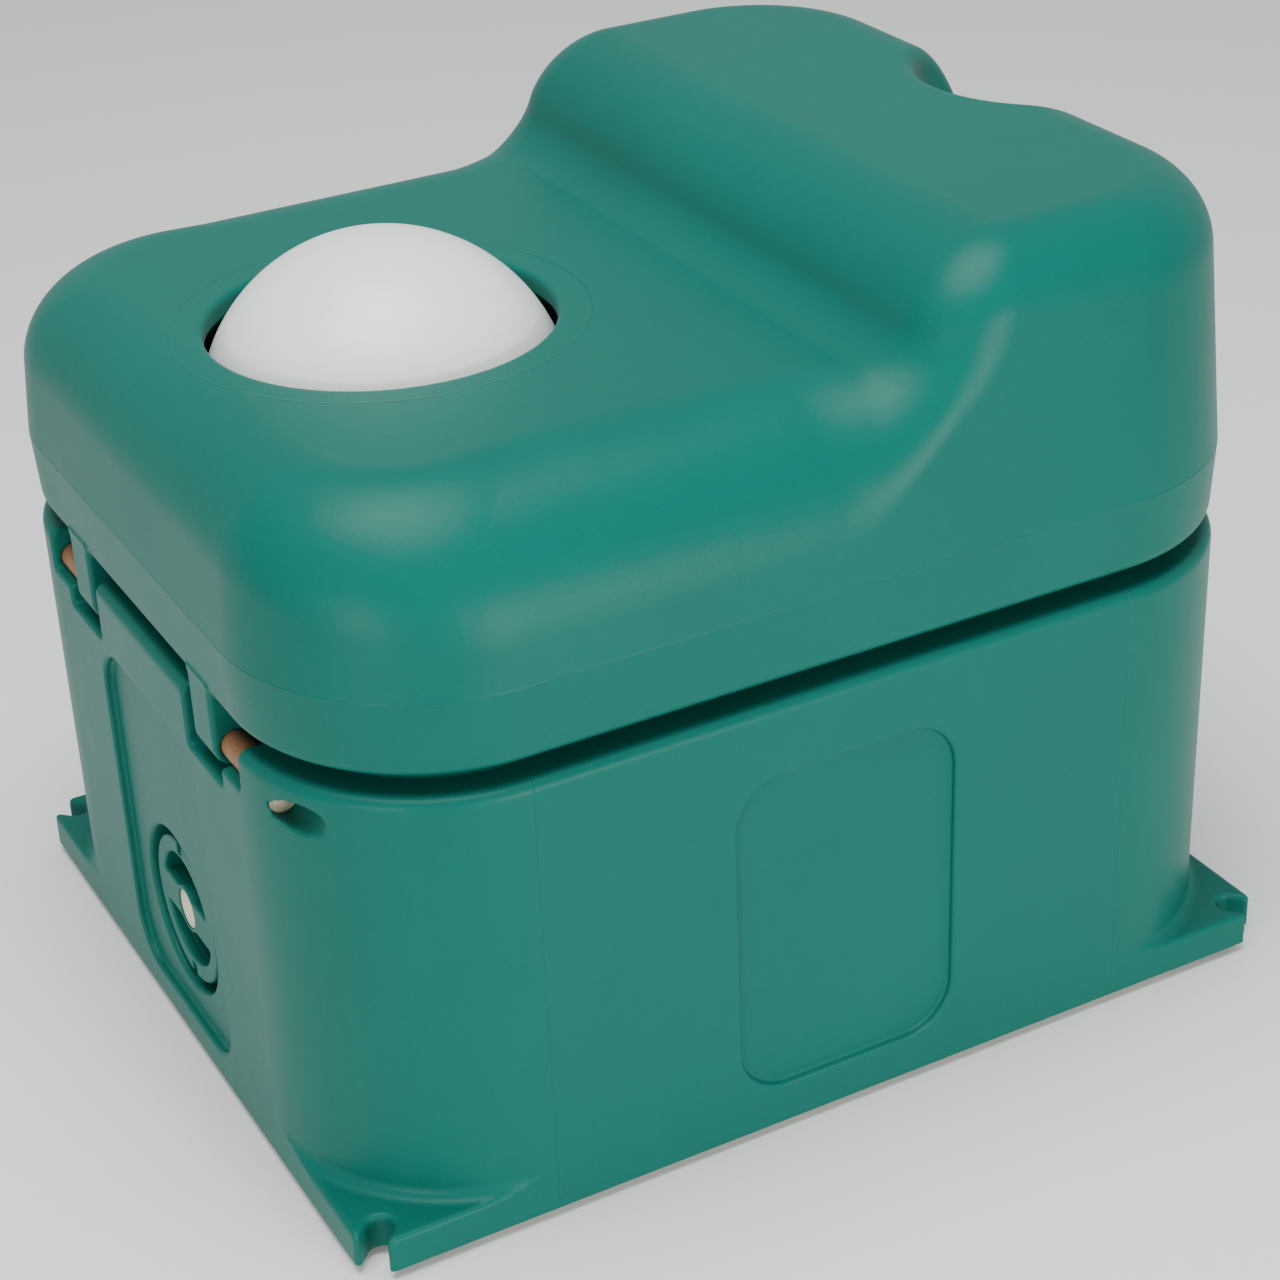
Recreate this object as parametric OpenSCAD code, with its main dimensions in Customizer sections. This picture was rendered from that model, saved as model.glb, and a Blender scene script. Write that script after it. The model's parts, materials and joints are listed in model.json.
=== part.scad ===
// Insulated livestock water trough with one floating ball.
// The origin is the middle of the underside. X runs across the trough, Y from the drinking
// end (-Y) to the hood end (+Y), and Z upwards. All sizes are in millimetres.

/* [Base] */
// Width across the side walls
body_w = 620; // [600:5:760]
// Length from the drinking end to the hood end
body_l = 720; // [700:5:900]
// Height of the base's rim
base_h = 332; // [300:1:400]
// Radius of the four vertical corners
corner_r = 138; // [125:1:145]
// Thickness of the moulded skins
skin = 6; // [4:0.5:7]
// Rounding of the base's rim
rim_r = 8; // [3:1:10]
// Height of the four corner feet
foot_h = 32; // [20:1:45]
// Rounding of the feet's corners in plan
foot_r = 4; // [2:1:8]
// Width of the open anchor slots in the feet
slot_w = 19; // [12:0.5:20]
// Distance from a foot's corner to the middle of its slot's round end
slot_reach = 26; // [20:1:30]
// Width of the pressed panel in each side wall
side_panel_w = 166; // [100:1:220]
// Height of the pressed panel in each side wall
side_panel_h = 243; // [150:1:250]
// Depth of the side panels
side_panel_deep = 4.5; // [2:0.5:6]
// Width of the pressed panel in the drinking end
front_panel_w = 180; // [150:1:220]
// Height of the pressed panel in the drinking end
front_panel_h = 255; // [200:1:260]
// Depth of the front panel
front_panel_deep = 6; // [3:0.5:7]
// Rounding of all the panels' corners
panel_r = 36; // [20:1:50]

/* [Tub] */
// Thickness of the tub's upstanding wall inside the lid
neck_wall = 8; // [6:0.5:10]
// Height of the tub's rim above the base's rim
neck_rise = 88; // [60:1:100]
// Height of the shallow part's floor
shelf_z = 280; // [260:1:290]
// Thickness of the floor over the supply shaft
shelf_t = 12; // [8:1:16]
// Width of the deep well under the ball
well_w = 300; // [260:5:340]
// Length of the deep well
well_l = 270; // [250:5:290]
// Height of the well's floor
well_z = 62; // [50:1:70]

/* [Lid] */
// Height of the shadow gap between base and lid
lid_gap = 14; // [8:1:20]
// Height from the lid's lower edge to its widest line
skirt_h = 52; // [40:1:60]
// Height of the drinking deck above the lid's lower edge
deck_rise = 166; // [150:1:190]
// Rounding of the deck's edge
deck_edge_r = 80; // [60:1:95]
// Draft of the lid's wall between its widest line and the deck's rounding
lid_draft = 4; // [1:1:8]
// Thickness of the lid's side walls with their insulation
lid_wall_x = 54; // [40:1:60]
// Thickness of the lid's end walls with their insulation
lid_wall_y = 48; // [40:1:60]
// Thickness of the deck with its insulation
deck_t = 36; // [28:1:44]
// Height of the hood above the deck
hood_rise = 76; // [60:1:100]
// Length of the hood, from the foot of its slope to the rear end
hood_l = 320; // [300:1:340]
// Length of the hood's sloping front
hood_run = 97; // [80:1:110]
// Rounding of the hood's edges
hood_edge_r = 50; // [35:1:55]
// Radius of the hand grip hollowed out of the hood's rear edge
grip_r = 99; // [80:1:105]
// How far the hand grip reaches in from the rear end
grip_reach = 88; // [75:1:92]

/* [Ball] */
// Diameter of the ball
ball_d = 251; // [240:1:254]
// Distance from the drinking end to the ball's middle
ball_inset = 194; // [190:1:200]
// Height of the ball above the deck
ball_rise = 56; // [50:1:60]
// Radius of the drinking opening
opening_r = 117; // [115:0.5:122]
// Radius that the opening widens to on its underside
flare_r = 138; // [132:1:142]
// Height of the opening's straight lip
lip_h = 12; // [8:1:14]
// Thickness of the ball's wall
ball_wall = 3.5; // [2.5:0.5:6]

/* [Hinge] */
// Diameter of the hinge pins
pin_d = 20; // [14:1:22]
// Length of a hinge pin
pin_l = 116; // [110:1:140]
// Distance of the pins' axis from the drinking end
pin_inset = 16.5; // [15.5:0.5:18]
// Distance of the pins' axis below the base's rim
pin_drop = 24; // [20:1:28]
// Distance from the middle of the trough to a lug's inner face
lug_x = 95; // [92:1:110]
// Width of a lug
lug_w = 37; // [20:1:40]
// Radial clearance between pins and their holes
pin_fit = 0.05; // [0.02:0.01:0.1]

/* [Drain] */
// Height of the drain's middle
drain_z = 108; // [105:1:120]
// Radius of the round hollow that the drain plug sits in
drain_hollow_r = 62; // [58:1:66]
// Outer radius of the drain plug's flange
plug_r = 54.7; // [50:0.1:56]
// Radius of the drain plug's shank
shank_r = 45.6; // [40:0.1:47]
// Radial clearance of the shank in its collar
shank_fit = 0.08; // [0.02:0.01:0.1]

/* [Water supply] */
// Distance of the supply shaft's middle from the middle of the trough
riser_x = 120; // [100:1:130]
// Distance of the supply shaft's middle from the rear end
riser_inset = 190; // [180:1:200]
// Radius of the supply shaft
riser_r = 55; // [45:1:60]
// Outer radius of the threaded stub that the supply hose screws on
stub_r = 13.2; // [10:0.1:13.4]
// Outer radius of the supply pipe
pipe_r = 14; // [13.5:0.5:16]
// Radius of the pipe's bore
pipe_bore_r = 9; // [6:0.5:10]
// Distance from the valve's axis to the arm's pivot
lever = 24; // [22:1:28]
// Length of the float arm, from its pivot to the float
arm_l = 176; // [150:1:190]
// Radius of the float
float_r = 42; // [30:1:44]
// Height of the float
float_h = 56; // [40:1:60]

/* [Hidden] */
$fn = 96;

green = [0.10, 0.50, 0.43];
foam_yellow = [0.88, 0.84, 0.74];
steel = [0.70, 0.71, 0.72];
brass = [0.72, 0.58, 0.30];
black = [0.10, 0.10, 0.11];
eps = 1;                              // overlap of cutters past a face

slot_end_ease = 0.3;                  // the slots' round ends are this much wider than the slots

half_w = body_w / 2;
half_l = body_l / 2;
lid_z = base_h + lid_gap;
waist_z = lid_z + skirt_h;
deck_z = lid_z + deck_rise;
top_z = deck_z + hood_rise;
ceiling_z = deck_z - deck_t;
lower_edge_r = skin + 2;              // rounding of the lid's lower edge
skirt_taper = 3;                      // the skirt leans in by this much below its widest line
hood_draft = 12;                      // the hood's walls lean in by this much at their top
hood_in = 2;                          // the hood's walls start this far inside the lid's widest line
hood_y = half_l - hood_l;             // foot of the hood's slope
hood_foot_gap = 25;                   // the slope starts this far behind its rounded foot
hood_sink = 8;                        // the slope starts this far below the deck

// Lid hollow and the tub's neck that stands in it
hollow_w = body_w - 2 * lid_wall_x;
hollow_l = body_l - 2 * lid_wall_y;
hollow_r = corner_r - lid_wall_x;
hood_hollow_in = 10;                  // the hood's hollow is this much narrower on each side
slope_wall = 72;                      // length of the wall at the foot of the hood's slope
grip_wall = 12;                       // extra wall behind the hood's hollow
hood_hollow_w = hollow_w - 2 * hood_hollow_in;
hood_hollow_y0 = hood_y + slope_wall;
hood_hollow_y1 = hollow_l / 2 - grip_wall;
hood_hollow_z = top_z - deck_t;
neck_side_gap = 10;
neck_front_gap = 6;
neck_rear_gap = 16;
neck_w = hollow_w - 2 * neck_side_gap;
neck_l = hollow_l - neck_front_gap - neck_rear_gap;
neck_y = (neck_front_gap - neck_rear_gap) / 2;
neck_z = base_h + neck_rise;
neck_r = hollow_r - 4;
tub_w = neck_w - 2 * neck_wall;
tub_l = neck_l - 2 * neck_wall;
tub_front = neck_y - tub_l / 2;
tub_r = neck_r - neck_wall;
well_r = 60;
well_step = 8;                        // ledge between the tub's and the well's front walls
well_front = tub_front + well_step;
well_y = well_front + well_l / 2;
bead_in = 30;                         // the rim's raised bead starts this far in, and clears the seal
bead_w = 7;
bead_h = lid_gap - 2;
seal_w = 10;
seal_gap = 0.4;

ball_r = ball_d / 2;
ball_y = ball_inset - half_l;
ball_z = deck_z + ball_rise - ball_r;
ball_plug_r = 10;

pin_r = pin_d / 2;
pin_y = pin_inset - half_l;
pin_z = base_h - pin_drop;
lug_r = pin_inset - 1.5;              // the lug stays inside the front wall's face
lug_out = lug_x + lug_w;
notch_side = 12;                      // side room of a lug in its notch
notch_floor = pin_z - lug_r - 5;
notch_back = pin_y + lug_r + 4.5;
cradle_w = 33;                        // length of pin that lies open beside the lug
cradle_floor = pin_z - 6;
notch_out = lug_out + notch_side;
hinge_block_y = notch_back + 8;       // solid moulding without foam round the hinge
hinge_block_z = notch_floor - 8;

drain_hollow_deep = 26;
drain_floor_y = drain_hollow_deep - half_l;
collar_t = 6;
collar_r = shank_r + shank_fit + collar_t;
collar_flange_r = plug_r + 1.3;
seal_t = 3;
plug_flange_t = 8;
plug_seat_y = drain_floor_y - collar_t;            // the collar's face under the seal
plug_flange_y = plug_seat_y - seal_t;
plug_face_y = plug_flange_y - plug_flange_t;
shank_end_y = well_front - 1;
plug_cup_r = plug_r - 12.7;
plug_cup_deep = 30;
boss_r = 18;
boss_core_r = 14.5;
grip_bar_h = 26;
seal_inset = 0.7;                     // the seal is this much smaller than the plug's flange

riser_y = half_l - riser_inset;
stub_z = 20;                          // lower end of the threaded stub
sleeve_z = 58;                        // lower end of the wide pipe and its insulation
gasket_t = 3;
flange_t = 8;
flange_r = 24;
nut_h = 18;
shaft_top = shelf_z - shelf_t;
sleeve_t = 20;
valve_z = 404;                        // underside of the valve body
seat_z = valve_z + 17;
cap_z = valve_z + 36;
arm_z = seat_z + 37;
valve_r = 22;
chamber_r = 12;
port_r = 5;                           // water port through the seat, and the outlet beside it
port_t = 5;                           // thickness of the seat over the pipe
outlet_up = 6;                        // height of the outlet above the seat
guide_r = 8;
guide_fit = 0.1;
nose_r = 5;
nose_gap = 0.5;                       // room between the lever's nose and the plunger
pivot_r = 4;
pivot_fit = 0.05;
hub_r = 9;
hub_w = 12;
ear_gap = 0.5;
ear_t = 6;
ear_root_h = 16;
ear_top = 8;                          // height of the ears above the pivot's axis
pivot_x = lever - riser_x;
rod_r = 3;
stud_below = 14;                      // length of the arm's stud below the float
stop_r = 9;                           // washer on the stud that the float seats against
stop_t = 3;
float_nut_r = 8;
float_nut_h = 6;
float_edge_r = 14;
float_x = pivot_x + arm_l;
float_top = arm_z - 28;
float_hole_r = rod_r + 0.3;
washer_t = 3;

guard_y = hood_y - 15;
guard_t = 4;
guard_side_gap = 2;
guard_h = neck_z - shelf_z - 5;
guard_foot_l = 30;
guard_screw_x = 90;
guard_screw_r = 2.5;
guard_hole_r = 6;
guard_pitch = 28;
guard_margin = 20;                    // plain border of the guard beside its holes
hole_clear = 4;
guard_first = 26;                     // height of the lowest row of holes

// ---- shared shapes ----

// Rounded rectangle in plan
module plan(w, l, r) {
    square([w - 2 * r, l], center = true);
    square([w, l - 2 * r], center = true);
    for (x = [-1, 1], y = [-1, 1]) {
        translate([x * (w / 2 - r), y * (l / 2 - r)]) circle(r);
    }
}

// Upright block with that plan, between two heights
module block(w, l, r, z0, z1) {
    translate([0, 0, z0]) linear_extrude(z1 - z0) plan(w, l, r);
}

// Tube or rod along Z between two heights
module rod_z(r, z0, z1) {
    translate([0, 0, z0]) cylinder(h = z1 - z0, r = r);
}

// Rod along Y between two places
module rod_y(r, y0, y1) {
    translate([0, y1, 0]) rotate([90, 0, 0]) cylinder(h = y1 - y0, r = r);
}

// Rod along X between two places
module rod_x(r, x0, x1) {
    translate([x0, 0, 0]) rotate([0, 90, 0]) cylinder(h = x1 - x0, r = r);
}

function arc(c, r, a0, a1, n) =
    [for (i = [0 : n]) [c[0] + r * cos(a0 + (a1 - a0) * i / n), c[1] + r * sin(a0 + (a1 - a0) * i / n)]];

// Body with a rounded-rectangle plan whose wall follows edge, a list of [outwards, height]
module swept_block(w, l, r, edge) {
    z0 = edge[0][1];
    z1 = edge[len(edge) - 1][1];
    corner = concat([[0, z0]], [for (p = edge) [r + p[0], p[1]]], [[0, z1]]);
    for (quarter = [0 : 3]) {
        x = (quarter == 0 || quarter == 3) ? 1 : -1;
        y = quarter < 2 ? 1 : -1;
        translate([x * (w / 2 - r), y * (l / 2 - r), 0]) rotate([0, 0, 90 * quarter])
            rotate_extrude(angle = 90) polygon(corner);
    }
    rotate([90, 0, 0]) linear_extrude(l - 2 * r, center = true) section(w / 2, edge);
    rotate([90, 0, 90]) linear_extrude(w - 2 * r, center = true) section(l / 2, edge);
}

module section(half, edge) {
    right = [for (p = edge) [half + p[0], p[1]]];
    left = [for (i = [len(edge) - 1 : -1 : 0]) [-half - edge[i][0], edge[i][1]]];
    polygon(concat(right, left));
}

// ---- base ----

function base_edge() =
    concat([[0, 0]], arc([-rim_r, base_h - rim_r], rim_r, 0, 90, 4));

module anchor_slots() {
    for (x = [-1, 1], y = [-1, 1]) {
        angle = atan2(y, x);
        reach = slot_reach / sqrt(2);
        translate([x * (half_w - reach), y * (half_l - reach), -eps]) {
            cylinder(h = foot_h + 2 * eps, r = slot_w / 2 + slot_end_ease);
            rotate([0, 0, angle]) translate([0, -slot_w / 2, 0])
                cube([2 * slot_reach, slot_w, foot_h + 2 * eps]);
        }
    }
}

// Hollows of the pressed panels. grow widens and deepens them.
module side_panels(grow) {
    middle = foot_h + 6 + side_panel_h / 2;
    deep = side_panel_deep + grow;
    for (x = [-1, 1]) {
        translate([x * (half_w - deep / 2 + eps), 0, middle]) rotate([90, 0, 90])
            linear_extrude(deep + 2 * eps, center = true)
                plan(side_panel_w + 2 * grow, side_panel_h + 2 * grow, panel_r + grow);
    }
}

module front_panel(grow) {
    middle = foot_h - 4 + front_panel_h / 2;
    deep = front_panel_deep + grow;
    translate([0, deep / 2 - half_l - eps, middle]) rotate([90, 0, 0])
        linear_extrude(deep + 2 * eps, center = true)
            plan(front_panel_w + 2 * grow, front_panel_h + 2 * grow, panel_r + grow);
}

module tub_hollow(grow) {
    translate([0, neck_y, 0])
        block(tub_w + 2 * grow, tub_l + 2 * grow, tub_r + grow, shelf_z - grow, neck_z + eps);
    translate([0, well_y, 0])
        block(well_w + 2 * grow, well_l + 2 * grow, well_r + grow, well_z - grow, shelf_z + eps);
}

module at_riser() {
    translate([-riser_x, riser_y, 0]) children();
}

module base_foam_space() {
    difference() {
        block(body_w - 2 * skin, body_l - 2 * skin, corner_r - skin, skin, base_h - skin);
        tub_hollow(skin);
        side_panels(skin);
        front_panel(skin);
        translate([0, 0, drain_z]) rod_y(drain_hollow_r + skin, -half_l, well_front);
        at_riser() rod_z(riser_r + skin, 0, shelf_z);
        translate([-half_w, -half_l, hinge_block_z]) cube([body_w, half_l + hinge_block_y, base_h]);
    }
}

module hinge_notches() {
    for (side = [0, 1]) {
        mirror([side, 0, 0]) {
            translate([lug_x - notch_side, -half_l - eps, notch_floor])
                cube([lug_w + 2 * notch_side, notch_back + half_l + eps, base_h]);
            translate([notch_out - eps, -half_l - eps, cradle_floor])
                cube([cradle_w + eps, notch_back + half_l + eps, base_h]);
            translate([0, pin_y, pin_z]) rod_x(pin_r + pin_fit, lug_x, half_w);
        }
    }
}

module guard_screw_places() {
    for (x = [-1, 1]) translate([x * guard_screw_x, guard_y + guard_foot_l / 2 + guard_t, 0]) children();
}

// The whole moulding of the base. The five nodes after it are its stretches, cut apart where one
// hollow ends and the next begins.
module base_moulding() {
    difference() {
        union() {
            swept_block(body_w, body_l, corner_r, base_edge());
            difference() {
                block(body_w, body_l, foot_r, 0, foot_h);
                anchor_slots();
            }
            block(body_w - 2 * bead_in, body_l - 2 * bead_in, corner_r - bead_in,
                base_h - skin, base_h + bead_h);
            translate([0, neck_y, 0]) block(neck_w, neck_l, neck_r, base_h - skin, neck_z);
        }
        difference() {
            block(body_w - 2 * (bead_in + bead_w), body_l - 2 * (bead_in + bead_w),
                corner_r - bead_in - bead_w, base_h, neck_z);
            translate([0, neck_y, 0]) block(neck_w, neck_l, neck_r, base_h - eps, neck_z + eps);
        }
        base_foam_space();
        tub_hollow(0);
        side_panels(0);
        front_panel(0);
        translate([0, 0, drain_z]) rod_y(drain_hollow_r, -half_l - eps, drain_floor_y);
        translate([0, 0, drain_z]) rod_y(collar_r, -half_l, well_front + eps);
        at_riser() rod_z(riser_r, -eps, shaft_top);
        at_riser() rod_z(pipe_r, 0, shelf_z + eps);
        hinge_notches();
        guard_screw_places() rod_z(guard_screw_r, shelf_z - skin + 1, shelf_z + eps);
    }
}

// Stretch of the moulding that is the tub: its walls, floors and upstanding neck
module tub_stretch() {
    tub_hollow(skin + eps);
    translate([0, neck_y, 0])
        block(neck_w + 2 * eps, neck_l + 2 * eps, neck_r + eps, base_h - eps, neck_z + 2 * eps);
}

// Stretch round the supply shaft, up to the tub's floor
module shaft_stretch() {
    at_riser() rod_z(riser_r + skin + eps, -eps, shelf_z - skin / 2);
}

// Stretch inside the rounded walls. The feet stand outside it.
module wall_stretch() {
    block(body_w + 2 * eps, body_l + 2 * eps, corner_r + eps, -eps, neck_z + 2 * eps);
}

// Stretch that is the flat floor
module floor_stretch() {
    block(body_w + 4 * eps, body_l + 4 * eps, corner_r, -2 * eps, skin + eps);
}

module walls_and_floor() {
    intersection() {
        difference() {
            base_moulding();
            tub_stretch();
            shaft_stretch();
        }
        wall_stretch();
    }
}

module base_shell() {
    color(green) difference() {
        walls_and_floor();
        floor_stretch();
    }
}

module base_floor() {
    color(green) intersection() {
        walls_and_floor();
        floor_stretch();
    }
}

module base_feet() {
    color(green) difference() {
        block(body_w, body_l, foot_r, 0, foot_h);
        anchor_slots();
        wall_stretch();
    }
}

module tub_skin() {
    color(green) intersection() {
        base_moulding();
        tub_stretch();
    }
}

module shaft_skin() {
    color(green) difference() {
        intersection() {
            base_moulding();
            shaft_stretch();
        }
        tub_stretch();
    }
}

module base_foam() {
    color(foam_yellow) base_foam_space();
}

module rim_seal() {
    color(black) difference() {
        block(hollow_w + 2 * seal_w, hollow_l + 2 * seal_w, hollow_r + seal_w, base_h, lid_z - seal_gap);
        block(hollow_w, hollow_l, hollow_r, base_h - eps, lid_z);
    }
}

// ---- lid ----

// Wall of the lid, sunk by s
function lid_edge(s) = concat(
    arc([-skirt_taper - lower_edge_r, lid_z + lower_edge_r], lower_edge_r - s, -90, 0, 4),
    [[-s, waist_z]],
    arc([-lid_draft - deck_edge_r, deck_z - deck_edge_r], deck_edge_r - s, 0, 90, 8));

// Hood over the valve, sunk by s
module hood(s) {
    round_z = top_z - hood_edge_r;
    foot_y = hood_y + hood_foot_gap + hood_edge_r;
    hull() for (x = [-1, 1]) {
        translate([x * (half_w - corner_r), half_l - corner_r, round_z]) rotate_extrude($fn = 48)
            translate([corner_r - hood_draft - hood_edge_r, 0]) circle(hood_edge_r - s, $fn = 32);
        translate([x * (half_w - hood_draft - hood_edge_r), hood_y + hood_run, round_z])
            sphere(hood_edge_r - s, $fn = 32);
        translate([x * (half_w - corner_r), half_l - corner_r, waist_z])
            cylinder(h = 1, r = corner_r - hood_in - s, $fn = 48);
        translate([x * (half_w - lid_draft - 2 * hood_in - hood_edge_r), foot_y, deck_z - deck_edge_r])
            cylinder(h = deck_edge_r - hood_sink, r = hood_edge_r - s, $fn = 32);
    }
}

// Hand grip, widened by grow
module grip(grow) {
    translate([0, half_l - grip_reach + grip_r, top_z + 8]) sphere(grip_r + grow);
}

// Space under the lid, widened by grow
module lid_hollow(grow) {
    block(hollow_w + 2 * grow, hollow_l + 2 * grow, hollow_r + grow, lid_z - eps, ceiling_z + grow);
    difference() {
        translate([0, (hood_hollow_y0 + hood_hollow_y1) / 2, 0])
            block(hood_hollow_w + 2 * grow, hood_hollow_y1 - hood_hollow_y0 + 2 * grow,
                hollow_r / 2 + grow, lid_z, hood_hollow_z + grow);
        grip(skin - grow);
    }
}

module lid_foam_space() {
    difference() {
        union() {
            swept_block(body_w, body_l, corner_r, lid_edge(skin));
            hood(skin);
        }
        lid_hollow(skin);
        grip(skin);
        translate([0, ball_y, 0]) rod_z(flare_r + skin, lid_z, top_z);
    }
}

module drinking_opening() {
    translate([0, ball_y, 0]) {
        rod_z(opening_r, ceiling_z, deck_z + eps);
        translate([0, 0, ceiling_z - eps])
            cylinder(h = deck_t - lip_h + eps, r1 = flare_r, r2 = opening_r);
    }
}

module lid_lugs() {
    for (side = [0, 1]) mirror([side, 0, 0]) {
        translate([0, pin_y, pin_z]) rod_x(lug_r, lug_x, lug_out);
        translate([lug_x, pin_y - lug_r, pin_z]) cube([lug_w, 2 * lug_r, lid_z + skin - pin_z]);
    }
}

module lid_shell() {
    color(green) difference() {
        union() {
            swept_block(body_w, body_l, corner_r, lid_edge(0));
            hood(0);
            lid_lugs();
        }
        lid_foam_space();
        lid_hollow(0);
        grip(0);
        drinking_opening();
        translate([0, pin_y, pin_z]) rod_x(pin_r + pin_fit, -lug_out - eps, lug_out + eps);
    }
}

module lid_foam() {
    color(foam_yellow) lid_foam_space();
}

module hinge_pin(side) {
    color([0.72, 0.66, 0.50]) translate([0, pin_y, pin_z]) {
        if (side > 0) rod_x(pin_r, lug_x - 3, lug_x - 3 + pin_l);
        else rod_x(pin_r, 3 - lug_x - pin_l, 3 - lug_x);
    }
}

module hinge_pin_left() {
    hinge_pin(-1);
}

module hinge_pin_right() {
    hinge_pin(1);
}

// ---- ball ----

module ball_shell() {
    color("white") translate([0, ball_y, ball_z]) difference() {
        sphere(ball_r);
        sphere(ball_r - ball_wall);
        rod_z(ball_plug_r, -ball_r - eps, 0);
    }
}

module ball_plug() {
    color("gainsboro") translate([0, ball_y, ball_z]) intersection() {
        sphere(ball_r);
        rod_z(ball_plug_r, -ball_r - eps, 3 * ball_wall - ball_r);
    }
}

// ---- drain ----

module drain_collar() {
    color(green) translate([0, 0, drain_z]) difference() {
        union() {
            rod_y(collar_r, drain_floor_y, well_front);
            rod_y(collar_flange_r, plug_seat_y, drain_floor_y);
        }
        rod_y(shank_r + shank_fit, plug_seat_y - eps, well_front + eps);
    }
}

module drain_seal() {
    color(black) translate([0, 0, drain_z]) difference() {
        rod_y(plug_r - seal_inset, plug_flange_y, plug_seat_y);
        rod_y(shank_r + shank_fit, plug_flange_y - eps, plug_seat_y + eps);
    }
}

module drain_plug_shell() {
    cup_floor = plug_face_y + plug_cup_deep;
    color(green) translate([0, 0, drain_z]) difference() {
        union() {
            rod_y(plug_r, plug_face_y, plug_flange_y);
            rod_y(shank_r, plug_flange_y, shank_end_y);
        }
        difference() {
            rod_y(plug_cup_r, plug_face_y - eps, cup_floor);
            rod_y(boss_r, plug_face_y, cup_floor + eps);
            translate([-plug_r, plug_face_y, -grip_bar_h / 2])
                cube([2 * plug_r, plug_cup_deep + eps, grip_bar_h]);
        }
        rod_y(boss_core_r, plug_face_y - eps, cup_floor);
    }
}

module drain_plug_foam() {
    color(foam_yellow) translate([0, 0, drain_z])
        rod_y(boss_core_r, plug_face_y, plug_face_y + plug_cup_deep);
}

// ---- water supply ----

module inlet_pipe() {
    color(brass) at_riser() difference() {
        union() {
            rod_z(stub_r, stub_z, sleeve_z);
            rod_z(pipe_r, sleeve_z, seat_z - port_t);
            rod_z(flange_r, shelf_z + gasket_t, shelf_z + gasket_t + flange_t);
        }
        rod_z(pipe_bore_r, stub_z - eps, seat_z);
    }
}

module inlet_sleeve() {
    color([0.25, 0.25, 0.27]) at_riser() difference() {
        rod_z(pipe_r + sleeve_t, sleeve_z, shaft_top - nut_h);
        rod_z(pipe_r, sleeve_z - eps, shaft_top);
    }
}

module inlet_gasket() {
    color(black) at_riser() difference() {
        rod_z(flange_r, shelf_z, shelf_z + gasket_t);
        rod_z(pipe_r, shelf_z - eps, shelf_z + gasket_t + eps);
    }
}

module inlet_nut() {
    color(brass) at_riser() difference() {
        translate([0, 0, shaft_top - nut_h]) cylinder(h = nut_h, r = flange_r, $fn = 6);
        rod_z(pipe_r, shaft_top - nut_h - eps, shaft_top + eps);
    }
}

module valve_body() {
    ear_x = lever - hub_r + 1;
    color("gainsboro") at_riser() difference() {
        union() {
            rod_z(valve_r, valve_z, cap_z);
            for (y = [-1, 1]) {
                translate([0, y * (hub_w / 2 + ear_gap + ear_t / 2) - ear_t / 2, cap_z - ear_root_h])
                    cube([lever + hub_r - 1, ear_t, ear_root_h]);
                translate([ear_x, y * (hub_w / 2 + ear_gap + ear_t / 2) - ear_t / 2, cap_z - 1])
                    cube([2 * hub_r - 2, ear_t, arm_z - cap_z + ear_top]);
            }
        }
        rod_z(pipe_r, valve_z - eps, seat_z - port_t);
        rod_z(port_r, seat_z - port_t - eps, seat_z + eps);
        rod_z(chamber_r, seat_z, cap_z + eps);
        translate([lever, 0, arm_z]) rod_y(pivot_r, -2 * hub_w, 2 * hub_w);
        translate([0, 0, seat_z + outlet_up]) rotate([0, 90, 180]) cylinder(h = valve_r + eps, r = port_r);
    }
}

module valve_cap() {
    color("dimgray") at_riser() difference() {
        union() {
            rod_z(chamber_r, cap_z - 4, cap_z);
            rod_z(chamber_r + 2, cap_z, cap_z + 4);
        }
        rod_z(guide_r + guide_fit, cap_z - 5, cap_z + 5);
    }
}

module valve_plunger() {
    color("white") at_riser() {
        rod_z(guide_r, seat_z + washer_t, arm_z - nose_r - nose_gap);
        rod_z(chamber_r - 1, seat_z + washer_t, seat_z + washer_t + 4);
    }
}

module plunger_washer() {
    color(black) at_riser() rod_z(chamber_r - 1, seat_z + 0.3, seat_z + washer_t);
}

module valve_pivot_pin() {
    color(steel) at_riser() translate([lever, 0, arm_z])
        rod_y(pivot_r, -hub_w / 2 - ear_gap - ear_t - 1, hub_w / 2 + ear_gap + ear_t + 1);
}

module float_arm() {
    color(brass) translate([0, riser_y, 0]) difference() {
        union() {
            translate([pivot_x, 0, arm_z]) rod_y(hub_r, -hub_w / 2, hub_w / 2);
            translate([pivot_x - lever, -nose_r, arm_z - 2]) cube([lever, 2 * nose_r, nose_r + 2]);
            translate([pivot_x - lever, 0, arm_z]) rod_y(nose_r, -nose_r, nose_r);
            translate([0, 0, arm_z]) rod_x(rod_r, pivot_x + hub_r - 2, float_x);
            translate([float_x, 0, arm_z]) sphere(rod_r);
            translate([float_x, 0, 0]) rod_z(rod_r, float_top - float_h - stud_below, arm_z);
            translate([float_x, 0, 0]) rod_z(stop_r, float_top, float_top + stop_t);
        }
        translate([pivot_x, 0, arm_z]) rod_y(pivot_r + pivot_fit, -hub_w, hub_w);
    }
}

module float() {
    edge = float_edge_r;
    low = float_top - float_h;
    profile = concat([[float_hole_r, low]],
        arc([float_r - edge, low + edge], edge, -90, 0, 6),
        arc([float_r - edge, float_top - edge], edge, 0, 90, 6),
        [[float_hole_r, float_top]]);
    color([0.85, 0.35, 0.15]) translate([float_x, riser_y, 0]) rotate_extrude() polygon(profile);
}

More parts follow.
